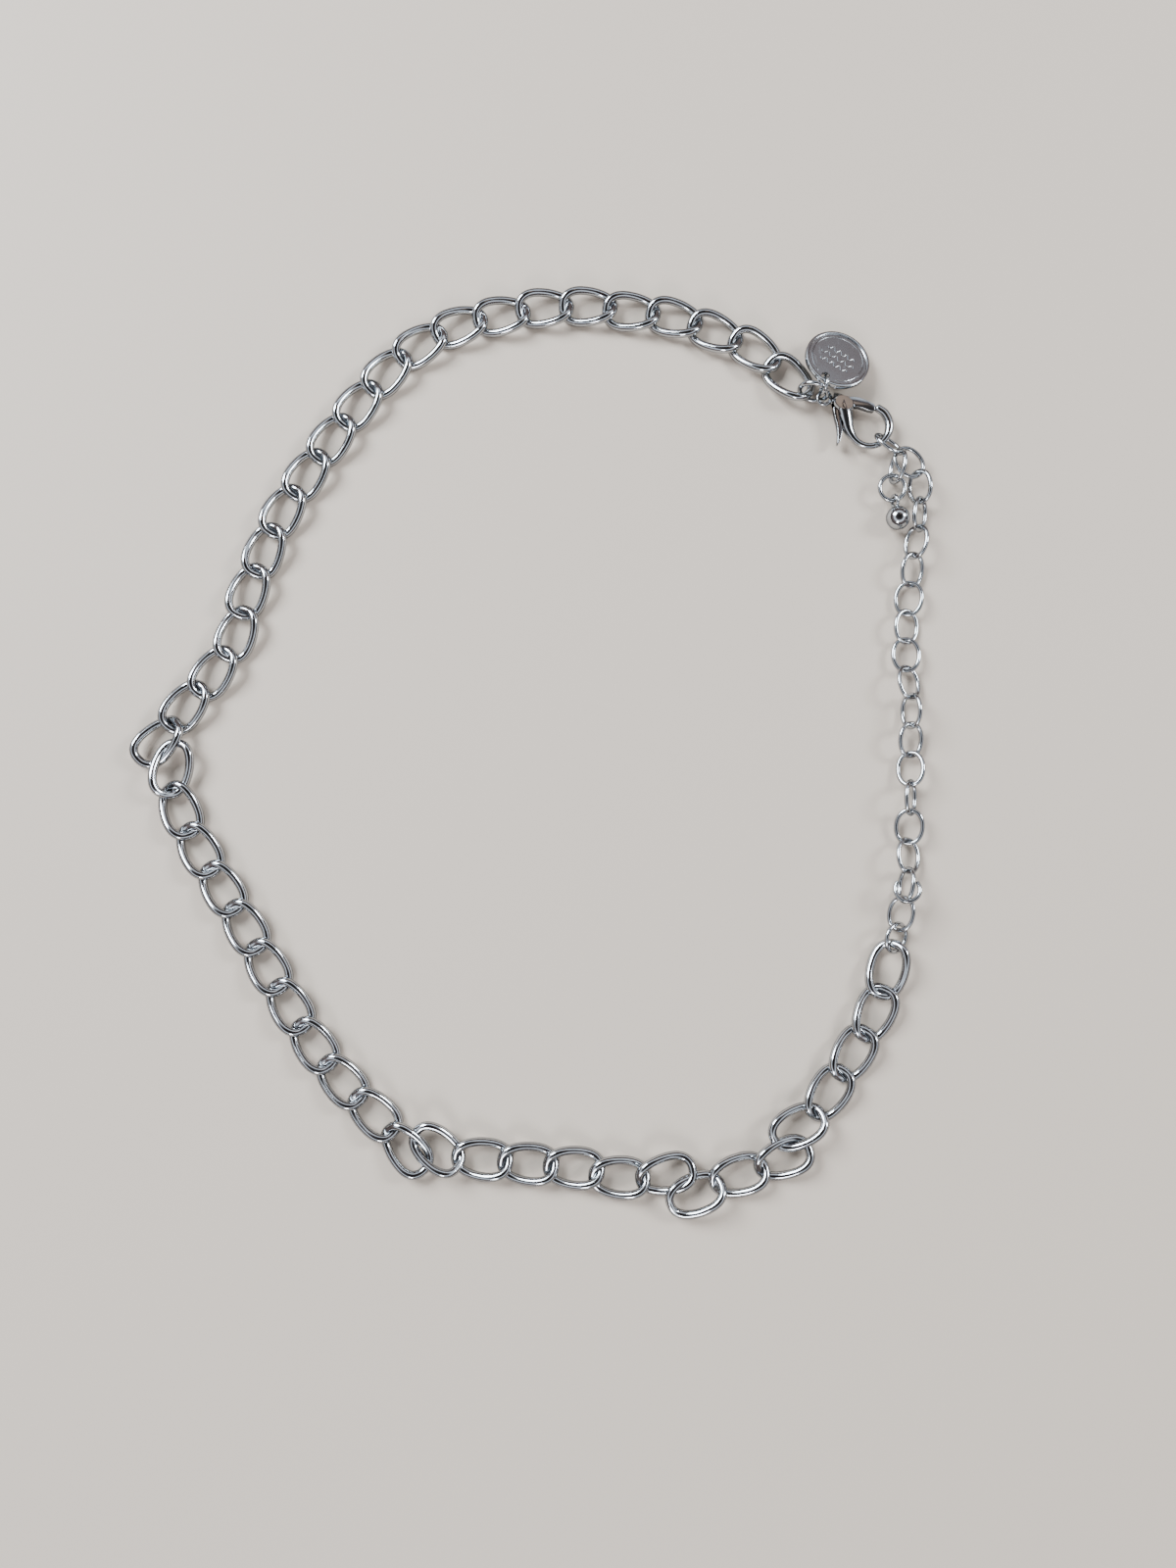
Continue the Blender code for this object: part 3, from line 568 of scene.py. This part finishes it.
@dataclass
class ClaspEnd:
    """The chain end ring, the lobster clasp with its lever, and the tag on its small ring."""

    chain: MainChain
    height: float = 1.28 * MM
    hook_radius: float = 2.24 * MM
    eye_radius: float = 0.74 * MM
    eye_wire: float = 0.46 * MM
    lever_thickness: float = 0.8 * MM
    lever_clearance: float = 0.15 * MM
    lever_range: float = 18.0
    pin_radius: float = 0.26 * MM
    pin_clearance: float = 0.11 * MM
    shoulder_heading: float = -25.0
    shoulder_size: tuple[float, float, float] = (1.40 * MM, 1.02 * MM, 1.30 * MM)
    shoulder_top: float = 0.88 * MM
    solid_sides: int = 8
    ring_radius: float = 1.61 * MM
    ring_wire: float = 0.5 * MM
    ring_lean: float = 77.7
    ring_heading: float = -15.7
    tag_ring_radius: float = 1.0 * MM
    tag_ring_wire: float = 0.38 * MM
    tag_ring_lean: float = 80.5
    tag_ring_heading: float = 258.6

    TAG_RING_PLACE = (0.632, 0.211, 0.745)
    # The spine from the hook's tip to the eye, and its half width, in hook radii from the hook's centre
    SPINE = [
        (0.435, 0.966, 0.208), (0.80, 0.679, 0.228), (1.013, 0.183, 0.228), (0.956, -0.36, 0.205),
        (0.643, -0.808, 0.168), (0.157, -1.037, 0.162), (-0.369, -0.99, 0.165), (-0.799, -0.678, 0.19),
        (-1.089, -0.183, 0.29), (-1.212, 0.313, 0.37), (-1.305, 0.783, 0.42), (-1.425, 1.15, 0.42),
        (-1.62, 1.37, 0.37), (-1.90, 1.47, 0.31),
    ]
    EYE = (-2.321, 1.491)
    PIVOT = (-1.45, 1.228)
    # The lever's outline from the thumb piece up its inner side, round the gate and back down its outer side
    LEVER = [
        (-1.705, -0.938), (-1.624, -0.938), (-1.47, -0.521), (-1.463, -0.104), (-1.546, 0.365),
        (-1.55, 0.731), (-1.404, 0.94), (-1.15, 0.951), (-0.616, 0.972), (0.17, 0.745), (0.25, 1.09),
        (-0.128, 1.296), (-0.607, 1.484), (-1.292, 1.516), (-1.547, 1.484), (-1.722, 1.333),
        (-1.818, 1.097), (-1.878, 0.836), (-1.799, 0.418), (-1.696, -0.104), (-1.673, -0.521),
    ]
    SLOT_REACH = -0.5
    SWING_STEPS = 3
    SHOULDER = (-1.36, 1.13)
    # The hook's rounded tip: shares of its radius, and each share's step in the tip's radii
    TIP_SHARES = (0.5, 0.85, 0.985)
    TIP_STEP = 0.27

    def ring_middle(self) -> Vector:
        """Gives the middle of the ring on the first link's free end, which stands on the surface."""
        origin, heading = self.chain.first()
        tip = origin + polar((self.chain.length - self.chain.wire) / 2, heading + 180.0)
        reach = self.ring_radius - (self.ring_wire + self.chain.wire) / 2 - 2 * RUNNING_GAP
        middle = tip + polar(reach, self.ring_heading + 27.0)
        lean = math.radians(self.ring_lean)
        middle.z = FLOOR_GAP + self.ring_radius * math.sin(lean) + self.ring_wire * 0.55
        return middle

    def eye_middle(self) -> Vector:
        """Gives the middle of the eye, which the chain end ring passes through."""
        ring = self.ring_middle()
        lean = math.radians(self.ring_lean)
        down = (ring.z - self.height) / math.sin(lean)
        reach = math.sqrt(self.ring_radius ** 2 - down ** 2)
        middle = ring + polar(reach - 0.06 * MM, self.ring_heading)
        middle += polar(down * math.cos(lean), self.ring_heading - 90.0)
        middle.z = self.height
        return middle

    def point(self, x: float, y: float) -> Vector:
        """Gives a point of the clasp's middle plane from hook radii beside the hook's centre."""
        beside = Vector((x - self.EYE[0], y - self.EYE[1], 0.0))
        return self.eye_middle() + self.hook_radius * beside

    def catch(self) -> Vector:
        """Gives where the extender's last end wire pulls against the inside of the hook."""
        x, y, half_width = self.SPINE[4]
        inside = (math.hypot(x, y) - half_width * swell(self.solid_sides)) * self.hook_radius
        reach = inside - 2 * RUNNING_GAP - swell(6) * Extender.wire / 2
        return self.point(0.0, 0.0) + polar(reach, math.degrees(math.atan2(y, x)))

    def tag_ring_middle(self) -> Vector:
        """Gives the middle of the ring that carries the tag on the chain end ring."""
        return self.ring_middle() + self.ring_radius * Vector(self.TAG_RING_PLACE)

    def rings(self) -> list[RoundRing]:
        """Gives the two jump rings of this end."""
        return [
            RoundRing("chain_end_jump_ring", "chain_end_ring", self.ring_middle(), self.ring_radius,
                      self.ring_wire, self.ring_heading, self.ring_lean),
            RoundRing("tag_jump_ring", "tag_ring", self.tag_ring_middle(), self.tag_ring_radius,
                      self.tag_ring_wire, self.tag_ring_heading, self.tag_ring_lean),
        ]

    def outline(self, grow: float, reach: float = 1.0) -> list[Vector]:
        """Gives the lever's outline about its pivot.

        Args:
            grow: how much it is widened.
            reach: where it is cut off towards the gate's tip, in hook radii.

        Returns:
            The outline's corners.
        """
        pivot = self.point(*self.PIVOT)
        corners = [self.point(x, y) - pivot for x, y in self.LEVER if x < reach]
        widened = []
        for k, corner in enumerate(corners):
            before = (corner - corners[k - 1]).normalized()
            after = (corners[(k + 1) % len(corners)] - corner).normalized()
            out = Vector((before.y + after.y, -before.x - after.x, 0.0)).normalized()
            spread = out.dot(Vector((before.y, -before.x, 0.0)))
            widened.append(corner + out * grow / max(spread, 0.5))
        return widened

    def swept(self, name: str, corners: list[Vector], height: float) -> bpy.types.Object:
        """Makes the convex solid that a flat outline sweeps as the lever opens.

        Args:
            name: the solid's name.
            corners: the outline about the lever's pivot.
            height: the solid's height.

        Returns:
            The solid.
        """
        shape = bmesh.new()
        place = Matrix.Translation(self.point(*self.PIVOT))
        for step in range(self.SWING_STEPS + 1):
            turn = place @ turned(-self.lever_range * step / self.SWING_STEPS, "Z")
            for corner in corners:
                for side in (-height / 2, height / 2):
                    shape.verts.new(turn @ (corner + Vector((0.0, 0.0, side))))
        hull = bmesh.ops.convex_hull(shape, input=shape.verts)
        inside = [v for v in hull["geom_interior"] + hull["geom_unused"] if isinstance(v, bmesh.types.BMVert)]
        bmesh.ops.delete(shape, geom=list(set(inside)), context="VERTS")
        return object_of(name, shape)

    def shoulder(self) -> bpy.types.Object:
        """Makes the casting's rounded shoulder over the lever's pivot, cut flat above and below."""
        shape = bmesh.new()
        at = placing(self.point(*self.SHOULDER), self.shoulder_heading)
        at = at @ Matrix.Diagonal((*self.shoulder_size, 1.0))
        bmesh.ops.create_uvsphere(shape, u_segments=40, v_segments=24, radius=1.0, matrix=at)
        for side in (-1.0, 1.0):
            whole = shape.verts[:] + shape.edges[:] + shape.faces[:]
            level = self.height + side * self.shoulder_top
            cut = bmesh.ops.bisect_plane(shape, geom=whole, plane_co=(0.0, 0.0, level),
                                         plane_no=(0.0, 0.0, side), clear_outer=True)
            rim = [e for e in cut["geom_cut"] if isinstance(e, bmesh.types.BMEdge)]
            bmesh.ops.contextual_create(shape, geom=rim)
        return object_of("clasp_shoulder", shape)

    def build_body(self, mat: bpy.types.Material) -> bpy.types.Object:
        """Builds the hook, the back and the eye as one casting, slotted for the lever, with its rivet."""
        spine = smooth([Vector(row) for row in self.SPINE], per=5)
        path = [self.point(p.x, p.y) for p in spine]
        radii = [p.z * self.hook_radius for p in spine]
        tip = (path[0] - path[1]).normalized()
        for share in self.TIP_SHARES:
            path.insert(0, path[0] + tip * radii[0] * self.TIP_STEP)
            radii.insert(0, spine[0].z * self.hook_radius * math.sqrt(1 - share ** 2))
        shape = bmesh.new()
        sweep(shape, path, radii, Section.FULL, closed=False, flatness=0.94)
        body = object_of("clasp_casting", shape)
        joined(body, self.shoulder(), "UNION")
        eye = bmesh.new()
        loop = [self.eye_middle() + p for p in oval(self.eye_radius, self.eye_radius, 40)]
        sweep(eye, loop, [self.eye_wire / 2] * 40, Section.ROUND)
        joined(body, object_of("clasp_eye", eye), "UNION")
        hollow = bmesh.new()
        inside = self.eye_radius - self.eye_wire / 2
        bmesh.ops.create_cone(hollow, cap_ends=True, segments=40, radius1=inside, radius2=inside,
                              depth=4 * self.hook_radius, matrix=Matrix.Translation(self.eye_middle()))
        joined(body, object_of("eye_hollow", hollow), "DIFFERENCE")
        corners = self.outline(self.lever_clearance, self.SLOT_REACH)
        height = self.lever_thickness + 2 * self.lever_clearance
        gate = [p for p in corners if p.y > -0.35 * self.hook_radius]
        thumb = [p for p in corners if p.y < 0 and p.x < 0.1 * self.hook_radius]
        joined(body, self.swept("gate_slot", gate, height), "DIFFERENCE")
        joined(body, self.swept("thumb_slot", thumb, height * 1.01), "DIFFERENCE")
        pin = bmesh.new()
        bmesh.ops.create_cone(pin, cap_ends=True, segments=28, radius1=self.pin_radius,
                              radius2=self.pin_radius, depth=self.lever_thickness + 4 * self.lever_clearance,
                              matrix=Matrix.Translation(self.point(*self.PIVOT)))
        joined(body, object_of("pin", pin), "UNION")
        return settle(body, mat, "clasp_body", crease=38.0)

    def build_lever(self, mat: bpy.types.Material) -> bpy.types.Object:
        """Builds the sprung lever with its rounded edges and its bore."""
        shape = bmesh.new()
        place = Matrix.Translation(self.point(*self.PIVOT))
        curve = smooth(self.outline(0.0), per=3, closed=True)
        low = place @ Matrix.Translation((0.0, 0.0, -self.lever_thickness / 2))
        verts = [shape.verts.new(low @ p) for p in curve]
        face = shape.faces.new(verts)
        made = bmesh.ops.extrude_face_region(shape, geom=[face])
        top = [v for v in made["geom"] if isinstance(v, bmesh.types.BMVert)]
        bmesh.ops.translate(shape, verts=top, vec=(0.0, 0.0, self.lever_thickness))
        bmesh.ops.recalc_face_normals(shape, faces=shape.faces)
        rims = [e for e in shape.edges if abs(e.verts[0].co.z - e.verts[1].co.z) < 0.01 * MM]
        bmesh.ops.bevel(shape, geom=rims, offset=0.11 * MM, segments=3, profile=0.5, affect="EDGES",
                        material=-1, offset_type="OFFSET", clamp_overlap=True)
        lever = object_of("clasp_gate_lever", shape)
        bore = bmesh.new()
        radius = self.pin_radius + self.pin_clearance
        bmesh.ops.create_cone(bore, cap_ends=True, segments=28, radius1=radius, radius2=radius,
                              depth=4 * self.lever_thickness, matrix=place)
        joined(lever, object_of("lever_bore", bore), "DIFFERENCE")
        return settle(lever, mat, "clasp_lever", Body.LEVER, crease=60.0)


@dataclass
class Tag:
    """The thin round tag with its raised rim, its hole and a plain engraved border."""

    end: ClaspEnd
    lean: float = 17.0
    heading: float = 56.2
    radius: float = 3.8 * MM
    thickness: float = 0.6 * MM
    rim_width: float = 0.35 * MM
    rim_height: float = 0.12 * MM
    hole_radius: float = 0.5 * MM
    edge_land: float = 0.32 * MM
    wave_wire: float = 0.20 * MM
    wave_sink: float = 0.05 * MM

    HOLE_PLACE = (0.145, 1.001, -0.139)
    # How far the rim's edges are rounded
    ROUND_EDGE = 0.07 * MM
    WAVE_HALF_LENGTH = 0.56         # shares of the tag's radius
    WAVE_SPACING = 0.25
    WAVE_HEIGHT = 0.28 * MM
    WAVE_POINTS = 48
    BORDER_SHARE = 0.80
    BORDER_END = 158.0              # degrees either side, open round the hole

    def matrix(self) -> Matrix:
        """Gives the tag's place; its local middle is the disc's."""
        reach = self.radius - self.edge_land - self.hole_radius
        hole = self.end.tag_ring_middle() + self.end.tag_ring_radius * Vector(self.HOLE_PLACE)
        turn = turned(self.heading, "Z") @ turned(self.lean, "Y")
        return Matrix.Translation(hole) @ turn @ Matrix.Translation((reach, 0.0, 0.0))

    def profile(self) -> list[Vector]:
        """Gives the turned profile from the back's middle round the rim to the face's middle."""
        r, half, edge = self.radius, self.thickness / 2, self.ROUND_EDGE
        inner = r - self.rim_width
        floor = half - self.rim_height
        return [Vector(p) for p in (
            (0.0, 0.0, -half), (r - edge, 0.0, -half), (r - 0.3 * edge, 0.0, -half + 0.3 * edge),
            (r, 0.0, -half + edge), (r, 0.0, half - edge), (r - 0.3 * edge, 0.0, half - 0.3 * edge),
            (r - edge, 0.0, half), (inner + 0.6 * edge, 0.0, half), (inner + 0.15 * edge, 0.0, half - 0.25 * edge),
            (inner, 0.0, floor + 0.5 * edge), (inner - 0.5 * edge, 0.0, floor), (0.0, 0.0, floor))]

    def build(self, mat: bpy.types.Material) -> bpy.types.Object:
        """Builds the tag with its border line and waves.

        Args:
            mat: the tag's finish.

        Returns:
            The tag.
        """
        shape = bmesh.new()
        verts = [shape.verts.new(p) for p in self.profile()]
        edges = [shape.edges.new(pair) for pair in zip(verts, verts[1:])]
        bmesh.ops.spin(shape, geom=verts + edges, cent=(0.0, 0.0, 0.0), axis=(0.0, 0.0, 1.0),
                       angle=2 * math.pi, steps=96, use_merge=True)
        disc = object_of("round_tag", shape)
        reach = self.radius - self.edge_land - self.hole_radius
        hole = bmesh.new()
        bmesh.ops.create_cone(hole, cap_ends=True, segments=40, radius1=self.hole_radius,
                              radius2=self.hole_radius, depth=4 * self.thickness,
                              matrix=Matrix.Translation((-reach, 0.0, 0.0)))
        joined(disc, object_of("tag_hole", hole), "DIFFERENCE")
        finished = bmesh.new()
        finished.from_mesh(disc.data)
        self.engrave(finished)
        bmesh.ops.transform(finished, matrix=self.matrix(), verts=finished.verts)
        finished.to_mesh(disc.data)
        finished.free()
        return settle(disc, mat, "tag_disc", crease=35.0)

    def engrave(self, shape: bmesh.types.BMesh) -> None:
        """Adds a plain border line and three waves, half sunk in the face."""
        level = self.thickness / 2 - self.rim_height - self.wave_sink
        border = [p + Vector((0.0, 0.0, level))
                  for p in arc(self.radius * self.BORDER_SHARE, -self.BORDER_END, self.BORDER_END, 72)]
        sweep(shape, border, [self.wave_wire / 2] * len(border), Section.FINE, closed=False)
        for row in (-1, 0, 1):
            half = self.radius * (self.WAVE_HALF_LENGTH - 0.1 * abs(row))
            middle = row * self.radius * self.WAVE_SPACING
            line = [Vector((middle + self.WAVE_HEIGHT * math.sin(k * math.pi / 6),
                            -half + 2 * half * k / self.WAVE_POINTS, level))
                    for k in range(self.WAVE_POINTS + 1)]
            sweep(shape, line, [self.wave_wire / 2] * len(line), Section.FINE, closed=False)


@dataclass
class Extender:
    """The extender's cable links, its joining ring, the spare open ring, the end ring and the ball."""

    chain: MainChain
    clasp: ClaspEnd
    length: float = 4.08 * MM
    width: float = 3.35 * MM
    wire: float = 0.46 * MM
    bite: float = 0.12
    solid_segments: int = 10
    side_roll: float = 71.0
    side_heading: float = -100.0
    join_radius: float = 1.6 * MM
    join_wire: float = 0.46 * MM
    join_roll: float = 38.4
    join_heading: float = 70.7
    open_radius: float = 1.33 * MM
    open_wire: float = 0.44 * MM
    open_gap: float = 100.0
    end_radius: float = 1.44 * MM
    end_wire: float = 0.45 * MM
    end_heading: float = -80.0
    end_slope: float = 5.0
    ball_radius: float = 1.35 * MM
    bail_length: float = 1.65 * MM
    bail_width: float = 1.25 * MM
    bail_wire: float = 0.38 * MM
    bail_roll: float = 75.0

    # The route in millimetres, from the joining ring to the hook's catch
    ROUTE = [
        (40.9, -21.41), (42.04, -15.53), (42.5, -8.8), (42.75, -2.28), (42.86, 4.37), (42.54, 10.72),
        (43.58, 20.5), (44.58, 27.05), (44.43, 30.45), (42.26, 33.06),
    ]
    # Roll of each link about its length, degrees, left side up
    ROLLS = [-42, -75, 28, -16, 57, -34, 23, -63, 32, -5, 23, -16, 28, -52, 52, -52, 5, 52]

    def rest(self, roll: float) -> float:
        """Gives a rolled link's middle height when it lies on the surface."""
        spread = (self.width - self.wire) / 2 * abs(math.sin(math.radians(roll)))
        return FLOOR_GAP + spread * swell(self.solid_segments) + swell(6) * self.wire / 2

    def joints(self) -> tuple[list[Vector], list[float]]:
        """Gives the joints, where two links hook, from the joining ring to the hook, and the links' rolls."""
        overlap = self.wire * (1 - self.bite)
        catch = self.clasp.catch()
        points = [Vector((x * MM, y * MM, 0.0)) for x, y in self.ROUTE]
        curve = smooth(points + [Vector((catch.x, catch.y, 0.0))])
        span = curve_length(curve)
        count = round(span / (self.length - self.wire - overlap))
        rolls = [self.ROLLS[k % len(self.ROLLS)] for k in range(count)]
        joints = []
        for k in range(count + 1):
            joint = walk(curve, span * k / count)
            joint.z = max(self.rest(roll) for roll in rolls[max(k - 1, 0):k + 1])
            joints.append(joint)
        joints[-1].z = self.clasp.height
        joints[-2].z += self.wire / 6
        return joints, rolls

    def side_ends(self) -> tuple[Vector, Vector]:
        """Gives the middles of the side link's end wires; it hangs from the last joint but one."""
        joints, rolls = self.joints()
        start = joints[-2].copy()
        start.z += self.wire * (1 - self.bite)
        end = start + polar(self.length - self.wire, self.side_heading)
        end.z = self.rest(self.side_roll) - self.wire / 3
        return start, end

    def end_ring_middle(self) -> Vector:
        """Gives the end ring's middle; the side link's end wire lies inside its far end."""
        start, end = self.side_ends()
        inside = self.wire / 2 + RUNNING_GAP + self.end_wire / 2
        middle = end + polar(self.end_radius - inside - 0.1 * MM, self.end_heading - 34.0)
        middle.z = self.ball_radius + FLOOR_GAP + self.end_radius * math.sin(math.radians(self.end_slope))
        return middle

    def link(self, shape: bmesh.types.BMesh, start: Vector, end: Vector, roll: float) -> None:
        """Adds one cable link between the middles of its two end wires."""
        along = end - start
        pitch = math.degrees(math.atan2(along.z, math.hypot(along.x, along.y)))
        path = oval(along.length / 2, (self.width - self.wire) / 2, 44, fullness=0.86)
        wire = wire_mesh("cable_link", path, self.wire / 2, Section.ROUND)
        add_copy(shape, wire, placing((start + end) / 2, heading_of(along), pitch, roll))
        bpy.data.meshes.remove(wire)

    def build_links(self, mat: bpy.types.Material) -> bpy.types.Object:
        """Builds the cable links with the side link as one piece."""
        shape = bmesh.new()
        joints, rolls = self.joints()
        overlap = self.wire * (1 - self.bite)
        for k, roll in enumerate(rolls):
            along = (joints[k + 1] - joints[k]).normalized()
            end = joints[k + 1] + along * (0.0 if k == len(rolls) - 1 else overlap / 2)
            self.link(shape, joints[k] - along * overlap / 2, end, roll)
        self.link(shape, *self.side_ends(), self.side_roll)
        return settle(object_of("cable_links", shape), mat, "extender_chain")

    def rings(self) -> list[RoundRing]:
        """Gives the joining ring and the end ring."""
        origin, heading = self.chain.last()
        tip = origin + polar((self.chain.length - self.chain.wire) / 2, heading)
        reach = self.join_radius - (self.chain.wire + self.join_wire) / 2 - 1.5 * RUNNING_GAP
        middle = tip + polar(reach, self.join_heading)
        lift = self.join_radius * math.sin(math.radians(self.join_roll))
        middle.z = FLOOR_GAP + lift + self.join_wire * 0.58
        return [
            RoundRing("joining_ring", "extender_join_ring", middle, self.join_radius, self.join_wire,
                      self.join_heading, self.join_roll),
            RoundRing("extender_end_ring", "end_ring", self.end_ring_middle(), self.end_radius, self.end_wire,
                      self.end_heading, 0.0, -self.end_slope),
        ]

    def build_open_ring(self, mat: bpy.types.Material) -> bpy.types.Object:
        """Builds the sprung-open ring that is caught on the first cable link."""
        joints, rolls = self.joints()
        middle = joints[1] + Vector((0.1 * MM, self.open_radius - 0.22 * MM, 0.0))
        middle.z = joints[1].z + self.wire / 2 + self.open_wire / 2 + 3.7 * RUNNING_GAP
        half_gap = self.open_gap / 2
        matrix = placing(middle, 0.0, 10.0, -13.0)
        path = [matrix @ p for p in arc(self.open_radius, 90.0 + half_gap, 450.0 - half_gap, 44)]
        up = matrix.to_3x3() @ Vector((0.0, 0.0, 1.0))
        shape = bmesh.new()
        sweep(shape, path, [self.open_wire * SHOWN_WIRE / 2] * len(path), Section.ROUND, closed=False, up=up)
        return settle(object_of("spare_open_ring", shape), mat, "open_ring", crease=40.0)

    def build_ball(self, mat: bpy.types.Material) -> bpy.types.Object:
        """Builds the ball with its soldered bail round the end ring's far side."""
        ring = self.end_ring_middle() + polar(self.end_radius, self.end_heading)
        ring.z = self.ball_radius + FLOOR_GAP
        solder = ring + polar(self.bail_wire / 2 + 2 * RUNNING_GAP + self.end_wire / 2, self.end_heading)
        middle = solder + polar(self.ball_radius, self.end_heading)
        bail_middle = solder - polar((self.bail_length - self.bail_wire) / 2, self.end_heading)
        shape = bmesh.new()
        bmesh.ops.create_uvsphere(shape, u_segments=48, v_segments=28, radius=self.ball_radius,
                                  matrix=Matrix.Translation(middle))
        path = oval((self.bail_length - self.bail_wire) / 2, self.bail_width / 2, 44)
        bail = wire_mesh("bail", path, self.bail_wire / 2, Section.ROUND)
        add_copy(shape, bail, placing(bail_middle, self.end_heading, 0.0, self.bail_roll))
        bpy.data.meshes.remove(bail)
        return settle(object_of("end_bead", shape), mat, "end_ball")


# Set

@dataclass
class Studio:
    """The pale surface, the soft light and the camera above the anklet."""

    floor_size: float = 5.0
    camera_place: tuple[float, float, float] = (6.28 * MM, -15.94 * MM, 133.57 * MM)
    camera_tilt: float = 4.62
    lens: float = 27.0
    frame_height: float = 36.0
    # Height of a direction as a share of straight up, and the sky's colour there
    SKY = [
        (0.0, (0.10, 0.08, 0.08)), (0.38, (0.24, 0.19, 0.18)), (0.52, (0.36, 0.29, 0.29)),
        (0.58, (1.45, 1.58, 1.76)), (0.74, (1.50, 1.64, 1.80)), (0.80, (0.20, 0.17, 0.18)),
        (0.90, (0.07, 0.06, 0.06)), (1.0, (0.02, 0.02, 0.02)),
    ]
    # Soft panels: name, place, size, power, colour; the warm card shows in the clasp's flat shoulder
    PANELS = [
        ("window_panel", (-0.42, 0.34, 0.46), 0.34, 12.0, (0.86, 0.93, 1.0)),
        ("side_panel", (0.50, 0.16, 0.36), 0.16, 3.4, (0.90, 0.95, 1.0)),
        ("low_panel", (-0.10, -0.55, 0.36), 0.18, 2.4, (0.95, 0.95, 1.0)),
        ("warm_card", (0.095, 0.152, 0.271), 0.05, 0.005, (1.0, 0.74, 0.58)),
    ]

    def build_floor(self) -> None:
        """Lays the pale surface."""
        shape = bmesh.new()
        bmesh.ops.create_grid(shape, x_segments=1, y_segments=1, size=self.floor_size / 2)
        floor = object_of("surface", shape, faced=False)
        floor.data.materials.append(PaleSurface().build())

    def build_sky(self) -> None:
        """Sets the soft light all round, bright at the sides and dark overhead as under a camera."""
        world = bpy.data.worlds.new("soft_studio")
        bpy.context.scene.world = world
        world.use_nodes = True
        nodes, links = world.node_tree.nodes, world.node_tree.links
        place = nodes.new("ShaderNodeTexCoord")
        split = nodes.new("ShaderNodeSeparateXYZ")
        ramp = nodes.new("ShaderNodeValToRGB")
        stops = ramp.color_ramp.elements
        while len(stops) < len(self.SKY):
            stops.new(0.5)
        for stop, (share, color) in zip(stops, self.SKY):
            stop.position = share
            stop.color = (*color, 1.0)
        links.new(place.outputs["Generated"], split.inputs["Vector"])
        links.new(split.outputs["Z"], ramp.inputs["Fac"])
        links.new(ramp.outputs["Color"], nodes["Background"].inputs["Color"])

    def build_panel(self, name: str, place: tuple[float, float, float], size: float, power: float,
                    color: tuple[float, float, float]) -> None:
        """Adds a square soft panel that faces the anklet.

        Args:
            name: the panel's name.
            place: its middle.
            size: its edge length.
            power: its power in watts.
            color: its light's colour.
        """
        data = bpy.data.lights.new(name, "AREA")
        data.shape = "SQUARE"
        data.size = size
        data.energy = power
        data.color = color
        lamp = bpy.data.objects.new(name, data)
        lamp.location = place
        lamp.rotation_euler = (-Vector(place)).to_track_quat("-Z", "Y").to_euler()
        bpy.context.scene.collection.objects.link(lamp)

    def build_camera(self) -> None:
        """Puts the camera at the photograph's angle."""
        data = bpy.data.cameras.new("camera")
        data.sensor_fit = "VERTICAL"
        data.sensor_height = self.frame_height
        data.sensor_width = self.frame_height
        data.lens = self.lens
        data.clip_start = 0.005
        camera = bpy.data.objects.new("camera", data)
        camera.location = self.camera_place
        camera.rotation_euler = (math.radians(self.camera_tilt), 0.0, 0.0)
        bpy.context.scene.collection.objects.link(camera)
        bpy.context.scene.camera = camera

    def build(self) -> None:
        """Builds the whole set."""
        self.build_floor()
        self.build_sky()
        for panel in self.PANELS:
            self.build_panel(*panel)
        self.build_camera()


def main() -> None:
    """Builds the studio and every piece of the anklet."""
    logging.basicConfig(level=logging.INFO)
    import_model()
    Studio().build()
    wear = wear_group()
    link_silver = SilverFinish("link_silver").build(wear)
    cable_silver = SilverFinish("cable_silver", roughness=0.09, unevenness=0.6).build(wear)
    cast_silver = SilverFinish("cast_silver", roughness=0.08, cloud_scale=300.0).build(wear)
    tag_silver = SilverFinish("tag_silver", roughness=0.12, cloud_scale=250.0, dent=0.01).build(wear)
    chain = MainChain()
    clasp = ClaspEnd(chain)
    extender = Extender(chain, clasp)
    chain.build(link_silver)
    clasp.build_body(cast_silver)
    clasp.build_lever(cast_silver)
    Tag(clasp).build(tag_silver)
    extender.build_links(cable_silver)
    for ring in clasp.rings() + extender.rings():
        ring.build(cable_silver)
    extender.build_open_ring(cable_silver)
    extender.build_ball(cast_silver)


if __name__ == "__main__":
    main()
